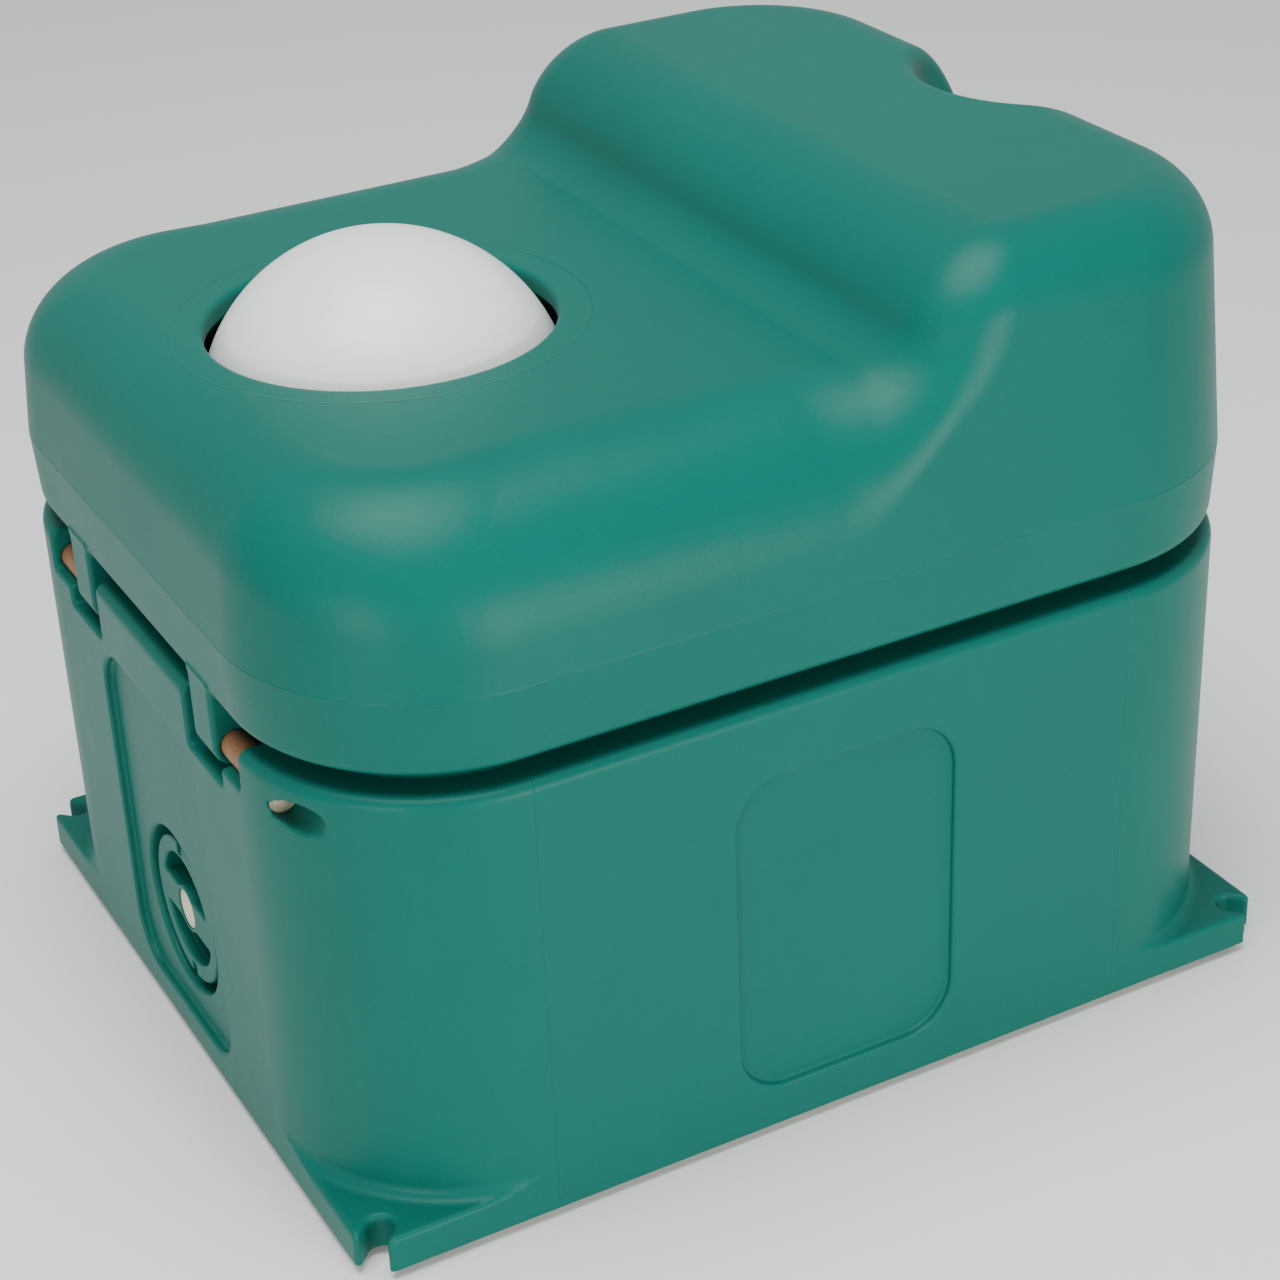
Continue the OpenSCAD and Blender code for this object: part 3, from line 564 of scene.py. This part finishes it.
def turned(name, outline, middle, axis="Z", turns=96, thread=None):
    """Piece turned round an axis. outline holds (radius, along) pairs: from pole to pole for a
    solid, or closed on itself for a tube. thread is (from, to, pitch, depth)."""
    solid = outline[0][0] == 0

    def spot(radius, turn, along):
        if thread and thread[0] <= along <= thread[1] and radius > bore_r + thread[3]:
            phase = ((along / thread[2]) - turn / (2 * math.pi)) % 1
            radius -= thread[3] * abs(2 * phase - 1)
        c, s = radius * math.cos(turn), radius * math.sin(turn)
        place = {"Z": (c, s, along), "Y": (c, along, s), "X": (along, c, s)}[axis]
        return Vector(place) + Vector(middle)

    shape = bmesh.new()
    rings = []
    for radius, along in outline:
        count = 1 if radius == 0 else turns
        rings.append([shape.verts.new(spot(radius, 2 * math.pi * k / turns, along)) for k in range(count)])
    pairs = list(zip(rings, rings[1:])) + ([] if solid else [(rings[-1], rings[0])])
    for a, b in pairs:
        for k in range(turns):
            corners = [a[k % len(a)], a[(k + 1) % len(a)], b[(k + 1) % len(b)], b[k % len(b)]]
            shape.faces.new(list(dict.fromkeys(corners)))
    bmesh.ops.recalc_face_normals(shape, faces=shape.faces)
    mesh = bpy.data.meshes.new(name)
    shape.to_mesh(mesh)
    shape.free()
    return finished(name, mesh)


gasket_low, gasket_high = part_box("inlet_gasket")
flange_r = (gasket_high.x - gasket_low.x) / 2
flange_low, flange_high = gasket_high.z, gasket_high.z + 0.008
threaded = [(stub_r, pipe_low.z + 0.0003 * k) for k in range(1, int((stub_top - pipe_low.z) / 0.0003))]
pipe_outline = [(bore_r, pipe_high.z), (bore_r, pipe_low.z), (stub_r - 0.0012, pipe_low.z)]
pipe_outline += threaded + [(stub_r, stub_top)]
pipe_outline += soften([(pipe_r, stub_top), (pipe_r, flange_low), (flange_r, flange_low),
                        (flange_r, flange_high), (pipe_r, flange_high), (pipe_r, pipe_high.z)], 0.0008)
pipe = turned("supply_pipe", pipe_outline, riser,
              thread=(pipe_low.z + 0.001, stub_top - 0.002, thread_pitch, thread_deep))
brass = surface("turned_brass", (0.62, 0.42, 0.17), 0.30, metallic=1.0, grain_scale=120.0,
                grain_depth=0.0001, stretch=(1, 1, 14))
install(pipe, brass, "base", "brass_fitting", "inlet_pipe")

sleeve_low, sleeve_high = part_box("inlet_sleeve")
sleeve_r = (sleeve_high.x - sleeve_low.x) / 2
sleeve = turned("pipe_lagging", soften([(pipe_r, sleeve_low.z), (sleeve_r, sleeve_low.z),
                                        (sleeve_r, sleeve_high.z), (pipe_r, sleeve_high.z)], 0.003), riser)
lagging = surface("lagging_foam", (0.045, 0.046, 0.05), 0.85, grain_scale=650.0, grain_depth=0.0012)
install(sleeve, lagging, "base", "dark_plastic", "inlet_sleeve")

gasket = turned("floor_gasket", soften([(pipe_r, gasket_low.z), (flange_r, gasket_low.z),
                                        (flange_r, gasket_high.z), (pipe_r, gasket_high.z)], 0.0008), riser)
install(gasket, rubber, "base", "black_rubber", "inlet_gasket")

nut_low, nut_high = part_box("inlet_nut")


def hexagon(x, y, flat):
    """Distance to a hexagon with a corner on the X axis, flat from its middle to a side."""
    sides = [np.abs(x * math.cos(turn) + y * math.sin(turn)) for turn in np.radians([30, 90, 150])]
    return np.maximum(np.maximum(sides[0], sides[1]), sides[2]) - flat


def nut_form(x, y, z):
    """Distance to the backnut: a hexagon turned to a cone at both ends, and bored."""
    radius = np.hypot(x - riser[0], y - riser[1])
    sides = hexagon(x - riser[0], y - riser[1], 0.0207)
    ends = between(z, nut_low.z, nut_high.z)
    cone = (radius - 0.0275 - ends) * 0.8
    return cut(meet(meet(sides, ends, 0.0006), cone, 0.0004), radius - pipe_r, 0.0006)


backnut = mesh_from_form("pipe_backnut", nut_form, nut_low, nut_high, 0.0009, 14000)
install(backnut, brass, "base", "brass_fitting", "inlet_nut")

# ---- Float valve ----
# A moulded valve body screws on the top of the pipe. Its screwed cap guides a plunger with a rubber
# face, and two ears hold the steel pin that the float arm turns on.
valve_low, valve_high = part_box("valve_body")
cap_low, cap_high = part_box("valve_cap")
pivot_low, pivot_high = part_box("valve_pivot_pin")
pivot_x, pivot_z = (pivot_low.x + pivot_high.x) / 2, (pivot_low.z + pivot_high.z) / 2
washer_low, washer_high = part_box("plunger_washer")
seat_z = 0.421
body_r = 0.022
chamber_r = 0.012
port_r = 0.005
ear_out, ear_t, ear_half = 0.0095, 0.006, 0.008
pivot_r = (pivot_high.z - pivot_low.z) / 2


def valve_form(x, y, z):
    """Distance to the valve body with its ears, ports and chamber."""
    px, py = x - riser[0], y - riser[1]
    radius = np.hypot(px, py)
    shell = meet(radius - body_r, between(z, valve_low.z, cap_low.z + 0.004), 0.0015)
    plates = between(np.abs(py), ear_out - ear_t / 2, ear_out + ear_t / 2)
    root = np.maximum(between(px, 0, 0.032), between(z, 0.424, 0.440))
    upright = np.maximum(between(x, pivot_x - ear_half, pivot_x + ear_half), between(z, 0.438, pivot_z))
    eye = np.hypot(x - pivot_x, z - pivot_z) - 0.0069
    ear = join(join(root, upright, 0.002), np.minimum(eye, upright), 0.001)
    body = join(shell, meet(ear, plates, 0.0008), 0.0020)
    body = cut(body, np.maximum(radius - pipe_r, z - (seat_z - 0.005)), 0.0004)
    body = cut(body, radius - port_r, 0.0004)
    body = cut(body, np.maximum(radius - chamber_r, seat_z - z), 0.0005)
    outlet = np.maximum(np.hypot(py, z - (seat_z + 0.006)) - port_r, px)
    body = cut(body, outlet, 0.0006)
    return cut(body, np.hypot(x - pivot_x, z - pivot_z) - pivot_r, 0.0003)


valve = mesh_from_form("float_valve_body", valve_form, valve_low, valve_high, 0.0009, 60000)
valve_white = surface("moulded_acetal", (0.70, 0.71, 0.69), 0.38, grain_scale=350.0, grain_depth=0.0001)
install(valve, valve_white, "base", "valve_plastic", "valve_body")


def cap_form(x, y, z):
    """Distance to the screwed cap, its rim fluted for the fingers."""
    px, py = x - riser[0], y - riser[1]
    radius = np.hypot(px, py)
    flutes = 0.0004 * (1 - np.cos(24 * np.arctan2(py, px)))
    rim = meet(radius - 0.0138 + flutes, between(z, 0.440, cap_high.z), 0.0007)
    plug = np.maximum(radius - chamber_r, between(z, cap_low.z, 0.441))
    return cut(np.minimum(rim, plug), radius - 0.0081, 0.0004)


cap = mesh_from_form("float_valve_cap", cap_form, cap_low, cap_high, 0.0007, 24000)
dark_plastic = surface("dark_nylon", (0.05, 0.05, 0.055), 0.42, grain_scale=400.0, grain_depth=0.0001)
install(cap, dark_plastic, "base", "dark_plastic", "valve_cap")

plunger_low, plunger_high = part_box("valve_plunger")
plunger_r = (plunger_high.x - plunger_low.x) / 2
plunger = turned("valve_plunger_rod", [(0, plunger_low.z)] + soften([
    (plunger_r, plunger_low.z), (plunger_r, plunger_low.z + 0.004), (0.008, plunger_low.z + 0.004),
    (0.008, plunger_high.z - 0.001), (0.0072, plunger_high.z)], 0.0006) + [(0, plunger_high.z)], riser)
install(plunger, valve_white, "plunger", "valve_plastic", "valve_plunger")
washer = turned("plunger_face", [(0, washer_low.z)] + soften([
    (plunger_r, washer_low.z), (plunger_r, washer_high.z)], 0.0005) + [(0, washer_high.z)], riser)
install(washer, rubber, "plunger", "black_rubber", "plunger_washer")

pivot = turned("arm_pivot_pin", [(0, pivot_low.y)] + soften([
    (pivot_r - 0.0006, pivot_low.y), (pivot_r, pivot_low.y + 0.0006),
    (pivot_r, pivot_high.y - 0.0006), (pivot_r - 0.0006, pivot_high.y)], 0.0004)
    + [(0, pivot_high.y)], (pivot_x, 0, pivot_z), "Y", 48)
steel = surface("drawn_steel", (0.60, 0.60, 0.61), 0.28, metallic=1.0, grain_scale=160.0,
                grain_depth=0.00006, stretch=(1, 10, 1))
install(pivot, steel, "base", "stainless", "valve_pivot_pin")

# ---- Float arm and float ----
# A brass rod runs out from a hub on the pivot and turns down through a hollow moulded float, which
# a nut holds against a washer. The hub's nose presses on the plunger.
arm_low, arm_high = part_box("float_arm")
float_low, float_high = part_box("float")
float_nut_low, float_nut_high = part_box("float_nut")
float_x, float_y = (float_low.x + float_high.x) / 2, (float_low.y + float_high.y) / 2
rod_r = 0.003
hub_r = 0.009
hub_half = 0.006


def arm_form(x, y, z):
    """Distance to the arm: hub and nose, rod, stud through the float, and washer."""
    py = y - float_y
    hub = meet(np.hypot(x - pivot_x, z - pivot_z) - hub_r, np.abs(py) - hub_half, 0.0007)
    nose_tip = np.hypot(x - riser[0], z - pivot_z) - 0.005
    nose_bar = np.maximum(between(x, riser[0], pivot_x), between(z, pivot_z - 0.002, pivot_z + 0.005))
    nose = meet(np.minimum(nose_tip, nose_bar), np.abs(py) - 0.005, 0.0006)
    along = np.clip(x, pivot_x, float_x)
    rod = np.sqrt((x - along) ** 2 + py ** 2 + (z - pivot_z) ** 2) - rod_r
    beside = np.hypot(x - float_x, py)
    stud = meet(beside - rod_r, between(z, arm_low.z, pivot_z), 0.0006)
    stop = meet(beside - 0.009, between(z, float_high.z, float_high.z + 0.003), 0.0006)
    arm = join(join(join(hub, nose, 0.001), rod, 0.002), join(stud, stop, 0.0006), 0.0015)
    return cut(arm, np.hypot(x - pivot_x, z - pivot_z) - pivot_r - 0.00005, 0.0004)


arm = mesh_from_form("float_arm_rod", arm_form, arm_low, arm_high, 0.0009, 50000)
install(arm, brass, "arm", "brass_fitting", "float_arm")

float_r = (float_high.x - float_low.x) / 2
float_edge_r = 0.014
hole_r = 0.0033
float_mid = (float_low.z + float_high.z) / 2
float_outline = [(hole_r, float_high.z), (hole_r, float_low.z)]
for k in range(13):
    turn = math.radians(-90 + 90 * k / 12)
    float_outline.append((float_r - float_edge_r + float_edge_r * math.cos(turn),
                          float_low.z + float_edge_r + float_edge_r * math.sin(turn)))
float_outline += [(float_r, float_mid - 0.0012), (float_r - 0.0005, float_mid - 0.0006),
                  (float_r - 0.0005, float_mid + 0.0006), (float_r, float_mid + 0.0012)]
for k in range(13):
    turn = math.radians(90 * k / 12)
    float_outline.append((float_r - float_edge_r + float_edge_r * math.cos(turn),
                          float_high.z - float_edge_r + float_edge_r * math.sin(turn)))
bob = turned("valve_float", float_outline, (float_x, float_y, 0))
orange = surface("float_orange", (0.68, 0.13, 0.025), 0.40, grain_scale=300.0, grain_depth=0.0002)
install(bob, orange, "arm", "float_orange", "float")


def float_nut_form(x, y, z):
    """Distance to the nut under the float."""
    radius = np.hypot(x - float_x, y - float_y)
    ends = between(z, float_nut_low.z, float_nut_high.z)
    shape = meet(hexagon(x - float_x, y - float_y, 0.0069), ends, 0.0003)
    return cut(meet(shape, (radius - 0.0092 - ends) * 0.8, 0.0003), radius - rod_r, 0.0003)


float_nut = mesh_from_form("float_backnut", float_nut_form, float_nut_low, float_nut_high, 0.0005, 8000)
install(float_nut, brass, "arm", "brass_fitting", "float_nut")

# ---- Valve guard ----
# A punched stainless plate with a folded foot stands across the tub and keeps the ball out of the
# valve's chamber. Two pan-headed screws hold its foot to the floor.
guard_low, guard_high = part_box("valve_guard")
guard_t = 0.004
guard_pitch = 0.028
guard_hole_r = 0.006
first_row = 0.026
columns = int((guard_high.x - guard_low.x - 0.040) / guard_pitch)
rows = int((guard_high.z - guard_low.z - first_row - 0.004) / guard_pitch)


def punched_sheet_tree():
    """Geometry nodes for a sheet in the XY plane with a grid of punched holes."""
    tree = bpy.data.node_groups.new("punched_sheet", "GeometryNodeTree")
    face = tree.interface
    for label, kind in (("Width", "NodeSocketFloat"), ("Height", "NodeSocketFloat"),
                        ("Thickness", "NodeSocketFloat"), ("Hole Radius", "NodeSocketFloat"),
                        ("Grid Width", "NodeSocketFloat"), ("Grid Height", "NodeSocketFloat"),
                        ("Columns", "NodeSocketInt"), ("Rows", "NodeSocketInt"),
                        ("Grid Rise", "NodeSocketFloat"), ("Finish", "NodeSocketMaterial")):
        face.new_socket(label, in_out="INPUT", socket_type=kind)
    face.new_socket("Geometry", in_out="OUTPUT", socket_type="NodeSocketGeometry")
    given = tree.nodes.new("NodeGroupInput").outputs
    edge = add_node(tree, "GeometryNodeCurvePrimitiveQuadrilateral", Width=given["Width"],
                    Height=given["Height"])
    grid = add_node(tree, "GeometryNodeMeshGrid", Size_X=given["Grid Width"], Size_Y=given["Grid Height"],
                    Vertices_X=given["Columns"], Vertices_Y=given["Rows"])
    lift = add_node(tree, "ShaderNodeCombineXYZ", Y=given["Grid Rise"])
    lifted = add_node(tree, "GeometryNodeSetPosition", Geometry=grid.outputs["Mesh"], Offset=lift.outputs[0])
    hole = add_node(tree, "GeometryNodeCurvePrimitiveCircle", Resolution=28, Radius=given["Hole Radius"])
    holes = add_node(tree, "GeometryNodeInstanceOnPoints", Points=lifted.outputs[0], Instance=hole.outputs[0])
    real = add_node(tree, "GeometryNodeRealizeInstances", Geometry=holes.outputs[0])
    both = tree.nodes.new("GeometryNodeJoinGeometry")
    tree.links.new(real.outputs[0], both.inputs[0])
    tree.links.new(edge.outputs[0], both.inputs[0])
    sheet = add_node(tree, "GeometryNodeFillCurve", Curve=both.outputs[0])
    thick = add_node(tree, "GeometryNodeExtrudeMesh", Mesh=sheet.outputs[0], Offset_Scale=given["Thickness"])
    thick.inputs["Individual"].default_value = False
    back = add_node(tree, "GeometryNodeFlipFaces", Mesh=sheet.outputs[0])
    shell = tree.nodes.new("GeometryNodeJoinGeometry")
    tree.links.new(thick.outputs["Mesh"], shell.inputs[0])
    tree.links.new(back.outputs[0], shell.inputs[0])
    whole = add_node(tree, "GeometryNodeMergeByDistance", Geometry=shell.outputs[0], Distance=0.00001)
    plain = add_node(tree, "GeometryNodeRealizeInstances", Geometry=whole.outputs[0])
    coated = add_node(tree, "GeometryNodeSetMaterial", Geometry=plain.outputs[0], Material=given["Finish"])
    result = tree.nodes.new("NodeGroupOutput")
    tree.links.new(coated.outputs[0], result.inputs[0])
    return tree


def baked(name, tree, **sizes):
    """Plain mesh made by a tree whose inputs are given by their names."""
    carrier = bpy.data.objects.new(name, bpy.data.meshes.new(name + "_carrier"))
    bpy.context.scene.collection.objects.link(carrier)
    run = carrier.modifiers.new(name, "NODES")
    run.node_group = tree
    for item in tree.interface.items_tree:
        if item.in_out == "INPUT" and item.name.replace(" ", "_") in sizes:
            run[item.identifier] = sizes[item.name.replace(" ", "_")]
    carrier.update_tag()
    ready = carrier.evaluated_get(bpy.context.evaluated_depsgraph_get())
    mesh = bpy.data.meshes.new_from_object(ready)
    carrier.modifiers.remove(run)
    bpy.data.objects.remove(carrier)
    mesh.name = name
    return mesh


sheet_steel = surface("rolled_stainless", (0.56, 0.57, 0.57), 0.30, metallic=1.0, grain_scale=70.0,
                      grain_depth=0.00008, stretch=(1, 12, 12))
sheet_tree = punched_sheet_tree()
guard_w, guard_h = guard_high.x - guard_low.x, guard_high.z - guard_low.z
foot_l = guard_high.y - guard_low.y
screw_x = 0.090
screw_y = guard_low.y + guard_t + 0.015
grid_h = (rows - 1) * guard_pitch
upright = baked("guard_upright", sheet_tree, Width=guard_w, Height=guard_h, Thickness=guard_t,
                Hole_Radius=guard_hole_r, Grid_Width=(columns - 1) * guard_pitch, Grid_Height=grid_h,
                Columns=columns, Rows=rows, Grid_Rise=first_row + grid_h / 2 - guard_h / 2,
                Finish=sheet_steel)
foot = baked("guard_foot", sheet_tree, Width=guard_w, Height=foot_l, Thickness=guard_t,
             Hole_Radius=0.0028, Grid_Width=2 * screw_x, Grid_Height=0.0, Columns=2, Rows=1,
             Grid_Rise=screw_y - (guard_low.y + guard_high.y) / 2, Finish=sheet_steel)
upright.transform(Matrix.Translation((0, guard_low.y + guard_t, guard_low.z + guard_h / 2))
                  @ Matrix.Rotation(math.radians(90), 4, "X"))
foot.transform(Matrix.Translation((0, (guard_low.y + guard_high.y) / 2, guard_low.z)))
plates = bmesh.new()
plates.from_mesh(upright)
plates.from_mesh(foot)
bmesh.ops.recalc_face_normals(plates, faces=plates.faces)
guard_mesh = bpy.data.meshes.new("valve_guard_plate")
plates.to_mesh(guard_mesh)
plates.free()
guard = finished("valve_guard_plate", guard_mesh)
install(guard, sheet_steel, "base", "stainless", "valve_guard")

screw_low, screw_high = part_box("guard_screws")
head_r, screw_shank_r = 0.005, 0.0025
head_z = guard_low.z + guard_t


def screw_form(x, y, z):
    """Distance to one pan-headed screw round the Z axis, with its cross recess."""
    radius = np.hypot(x, y)
    head = meet(radius - head_r + 0.00001, between(z, head_z, screw_high.z), 0.0012)
    shank = np.maximum(radius - screw_shank_r, between(z, screw_low.z, head_z + 0.001))
    arms = np.minimum(np.maximum(np.abs(x) - 0.0005, np.abs(y) - 0.0023),
                      np.maximum(np.abs(y) - 0.0005, np.abs(x) - 0.0023))
    recess = np.maximum(arms, head_z + 0.0012 - z)
    return cut(np.minimum(head, shank), recess, 0.0001)


pattern = mesh_from_form("screw_pattern", screw_form, (-head_r, -head_r, screw_low.z),
                         (head_r, head_r, screw_high.z), 0.00035, 7000)
screw_tree = bpy.data.node_groups.new("screws_in_a_row", "GeometryNodeTree")
for label, kind in (("Screw", "NodeSocketObject"), ("Spacing", "NodeSocketFloat"),
                    ("Count", "NodeSocketInt"), ("Finish", "NodeSocketMaterial")):
    screw_tree.interface.new_socket(label, in_out="INPUT", socket_type=kind)
screw_tree.interface.new_socket("Geometry", in_out="OUTPUT", socket_type="NodeSocketGeometry")
given = screw_tree.nodes.new("NodeGroupInput").outputs
one = add_node(screw_tree, "GeometryNodeObjectInfo", Object=given["Screw"])
screw_step = add_node(screw_tree, "ShaderNodeCombineXYZ", X=given["Spacing"])
row = add_node(screw_tree, "GeometryNodeMeshLine", Count=given["Count"], Offset=screw_step.outputs[0])
set_out = add_node(screw_tree, "GeometryNodeInstanceOnPoints", Points=row.outputs[0],
                   Instance=one.outputs["Geometry"])
made = add_node(screw_tree, "GeometryNodeRealizeInstances", Geometry=set_out.outputs[0])
coated = add_node(screw_tree, "GeometryNodeSetMaterial", Geometry=made.outputs[0], Material=given["Finish"])
screw_tree.links.new(coated.outputs[0], screw_tree.nodes.new("NodeGroupOutput").inputs[0])
screw_mesh = baked("guard_foot_screws", screw_tree, Screw=pattern, Spacing=2 * screw_x, Count=2, Finish=steel)
screw_mesh.transform(Matrix.Translation((-screw_x, screw_y, 0)))
bpy.data.objects.remove(pattern)
screws = finished("guard_foot_screws", screw_mesh, 50)
screws.data.materials.clear()
install(screws, steel, "base", "stainless", "guard_screws")

# ---- Ball ----
# The float ball is a hollow white polyethylene moulding that water pushes up into the opening. A
# faint parting line runs round its middle, and a screwed plug closes its filling hole below.
ball_r = (ball_high.z - ball_low.z) / 2
ball_z = (ball_high.z + ball_low.z) / 2
ball_wall = 0.0035
ball_hole_r = 0.010


def ball_arc(r, low, high, steps):
    """Points of a meridian between two angles from the equator, in degrees."""
    turns = [math.radians(low + (high - low) * k / steps) for k in range(steps + 1)]
    return [(r * math.cos(t), r * math.sin(t)) for t in turns]


hole_angle = -math.degrees(math.acos(ball_hole_r / ball_r))
inner_angle = -math.degrees(math.acos(ball_hole_r / (ball_r - ball_wall)))
outer = [(max(radius, 0), along) for radius, along in ball_arc(ball_r, hole_angle, 90, 120)]
outer = [(radius - (0.0004 * math.exp(-(along / 0.0006) ** 2)), along) for radius, along in outer]
outer[-1] = (0, ball_r)
inner = ball_arc(ball_r - ball_wall, 90, inner_angle, 90)
inner[0] = (0, ball_r - ball_wall)
ball = turned("float_ball", inner + outer, (0, ball_y, ball_z), "Z", 160)
ball_white = surface("ball_white", (0.80, 0.81, 0.80), 0.33, blotch=0.035, blotch_scale=14.0,
                     grain_scale=180.0, grain_depth=0.00012)
install(ball, ball_white, "ball", "white_ball", "ball_shell")

ball_plug_low, ball_plug_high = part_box("ball_plug")
plug_slot = 0.0012


def ball_plug_form(x, y, z):
    """Distance to the ball's plug: a disc that follows the ball, slotted for a coin."""
    py = y - ball_y
    radius = np.hypot(x, py)
    skin = np.sqrt(x ** 2 + py ** 2 + (z - ball_z) ** 2) - ball_r
    disc = meet(meet(radius - ball_hole_r + 0.00005, skin, 0.0004), z - ball_plug_high.z, 0.0005)
    slot = np.maximum(np.abs(py) - plug_slot / 2, np.maximum(np.abs(x) - 0.0075, z - ball_plug_low.z - 0.002))
    return cut(disc, slot, 0.0002)


ball_plug = mesh_from_form("ball_filling_plug", ball_plug_form, ball_plug_low, ball_plug_high, 0.0006, 9000)
install(ball_plug, ball_white, "ball", "white_ball", "ball_plug")

# ---- Hinge pins ----
# Two plain rods, pushed in through holes in the front corners, carry the lid's lugs. Their ends have
# the rod's own pale colour; their sides are painted dark brown as painted shade, with a streaked grain.
# The rod's finish: its own pale colour on the ends, and painted shade on its sides.
pin_rod = bpy.data.materials.new("wound_rod")
pin_rod.use_nodes = True
tree = pin_rod.node_tree
shader = tree.nodes["Principled BSDF"]
shader.inputs["Roughness"].default_value = 0.55
place = tree.nodes.new("ShaderNodeTexCoord").outputs["Object"]
across = add_node(tree, "ShaderNodeSeparateXYZ", Vector=place)
outwards = add_node(tree, "ShaderNodeMath", "ABSOLUTE", i0=across.outputs[0])
pin_low, pin_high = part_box("hinge_pin_right")
# Mask of the rod's end faces. Everything else is the side, which is painted in shade.
end_face = add_node(tree, "ShaderNodeMath", "GREATER_THAN", i0=outwards.outputs[0], i1=pin_high.x - 0.0010)
winding = add_node(tree, "ShaderNodeMapping", Vector=place, Scale=(0.12, 1, 1))
fibres = add_node(tree, "ShaderNodeTexNoise", Vector=winding.outputs["Vector"], Scale=1400.0, Detail=3.0)
specks = add_node(tree, "ShaderNodeTexNoise", Vector=place, Scale=900.0, Detail=4.0)
shaded_side_tone = add_node(tree, "ShaderNodeMix")
end_tone = add_node(tree, "ShaderNodeMix")
tone = add_node(tree, "ShaderNodeMix")
# The side browns are painted shade, the rod as it looks in shadow in the notches; the end colours are the
# rod's own pale, speckled colour.
for mix, factor, dark, light in ((shaded_side_tone, fibres, (0.19, 0.085, 0.035), (0.33, 0.16, 0.07)),
                                 (end_tone, specks, (0.38, 0.32, 0.20), (0.66, 0.60, 0.44))):
    mix.data_type = "RGBA"
    tree.links.new(factor.outputs["Fac"], mix.inputs[0])
    mix.inputs[6].default_value = (*dark, 1)
    mix.inputs[7].default_value = (*light, 1)
tone.data_type = "RGBA"
tree.links.new(end_face.outputs[0], tone.inputs[0])
tree.links.new(shaded_side_tone.outputs[2], tone.inputs[6])
tree.links.new(end_tone.outputs[2], tone.inputs[7])
tree.links.new(tone.outputs[2], shader.inputs["Base Color"])
relief = add_node(tree, "ShaderNodeBump", Strength=0.6, Distance=0.0003, Height=fibres.outputs["Fac"])
tree.links.new(relief.outputs["Normal"], shader.inputs["Normal"])
pin_r = (pin_high.z - pin_low.z) / 2
for side in ("left", "right"):
    low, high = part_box("hinge_pin_" + side)
    pin_outline = [(0, low.x)] + soften([
        (pin_r - 0.0008, low.x), (pin_r, low.x + 0.0008),
        (pin_r, high.x - 0.0008), (pin_r - 0.0008, high.x)], 0.0006) + [(0, high.x)]
    pin = turned("hinge_rod_" + side, pin_outline, (0, hinge_y, hinge_z), "X", 64)
    install(pin, pin_rod, "pin_" + side, "pin_rod", "hinge_pin_" + side)

# ---- Drain ----
# A ring set in the front wall takes the drain plug, with a flat gasket between. The plug is a green
# moulding with a bar across its cup to turn it by, and foam shows in the middle.
collar_low, collar_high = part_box("drain_collar")
drain_seal_low, drain_seal_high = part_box("drain_seal")
plug_low, plug_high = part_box("drain_plug_shell")
core_low, core_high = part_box("drain_plug_foam")
drain_z = (collar_low.z + collar_high.z) / 2
drain_axis = (0, 0, drain_z)
collar_flange_r = (collar_high.x - collar_low.x) / 2
collar_bore_r = 0.04568
collar_r = 0.05168
collar_step = collar_low.y + 0.006
collar = turned("drain_ring", soften([
    (collar_bore_r, collar_low.y), (collar_flange_r, collar_low.y), (collar_flange_r, collar_step),
    (collar_r, collar_step), (collar_r, collar_high.y), (collar_bore_r, collar_high.y)], 0.001),
    drain_axis, "Y", 128)
install(collar, base_green, "base", "green_moulding", "drain_collar")
drain_seal_r = (drain_seal_high.x - drain_seal_low.x) / 2
drain_gasket = turned("drain_gasket_ring", soften([
    (collar_bore_r, drain_seal_low.y), (drain_seal_r, drain_seal_low.y),
    (drain_seal_r, drain_seal_high.y), (collar_bore_r, drain_seal_high.y)], 0.0008),
    drain_axis, "Y", 128)
install(drain_gasket, rubber, "drain_gasket", "black_rubber", "drain_seal")

plug_r = (plug_high.x - plug_low.x) / 2
plug_shank_r = 0.0456
cup_r, cup_deep = 0.042, 0.030
bar_half = 0.013
boss_r, core_r = 0.018, (core_high.x - core_low.x) / 2


def plug_form(x, y, z):
    """Distance to the drain plug: flange and shank, hollowed to a cup with a bar and a boss."""
    pz = z - drain_z
    radius = np.hypot(x, pz)
    flange = meet(radius - plug_r, between(y, plug_low.y, drain_seal_low.y), 0.0018)
    shank = meet(radius - plug_shank_r, between(y, drain_seal_low.y - 0.001, plug_high.y), 0.0015)
    cup = meet(radius - cup_r, y - (plug_low.y + cup_deep), 0.003)
    cup = cut(cut(cup, np.abs(pz) - bar_half, 0.0022), radius - boss_r, 0.0020)
    notch = np.maximum(np.abs(x) - 0.004, np.maximum(0.046 - np.abs(pz), y - plug_low.y - 0.003))
    plug = cut(join(flange, shank, 0.0008), cup, 0.0022)
    plug = cut(plug, notch, 0.0010)
    return cut(plug, np.maximum(radius - core_r, y - core_high.y), 0.0006)


plug = mesh_from_form("drain_plug", plug_form, plug_low, plug_high, 0.0011, 120000)
install(plug, base_green, "drain_plug", "green_moulding", "drain_plug_shell")
core = turned("drain_plug_core", [(0, core_low.y + 0.0008)] + soften([
    (core_r - 0.0002, core_low.y + 0.0008), (core_r - 0.0002, core_high.y)], 0.0006)
    + [(0, core_high.y)], drain_axis, "Y")
plug_foam = surface("plug_foam", (0.70, 0.64, 0.46), 0.85, blotch=0.10, blotch_scale=60.0,
                    grain_scale=1100.0, grain_depth=0.0009)
install(core, plug_foam, "drain_plug", "insulation", "drain_plug_foam")
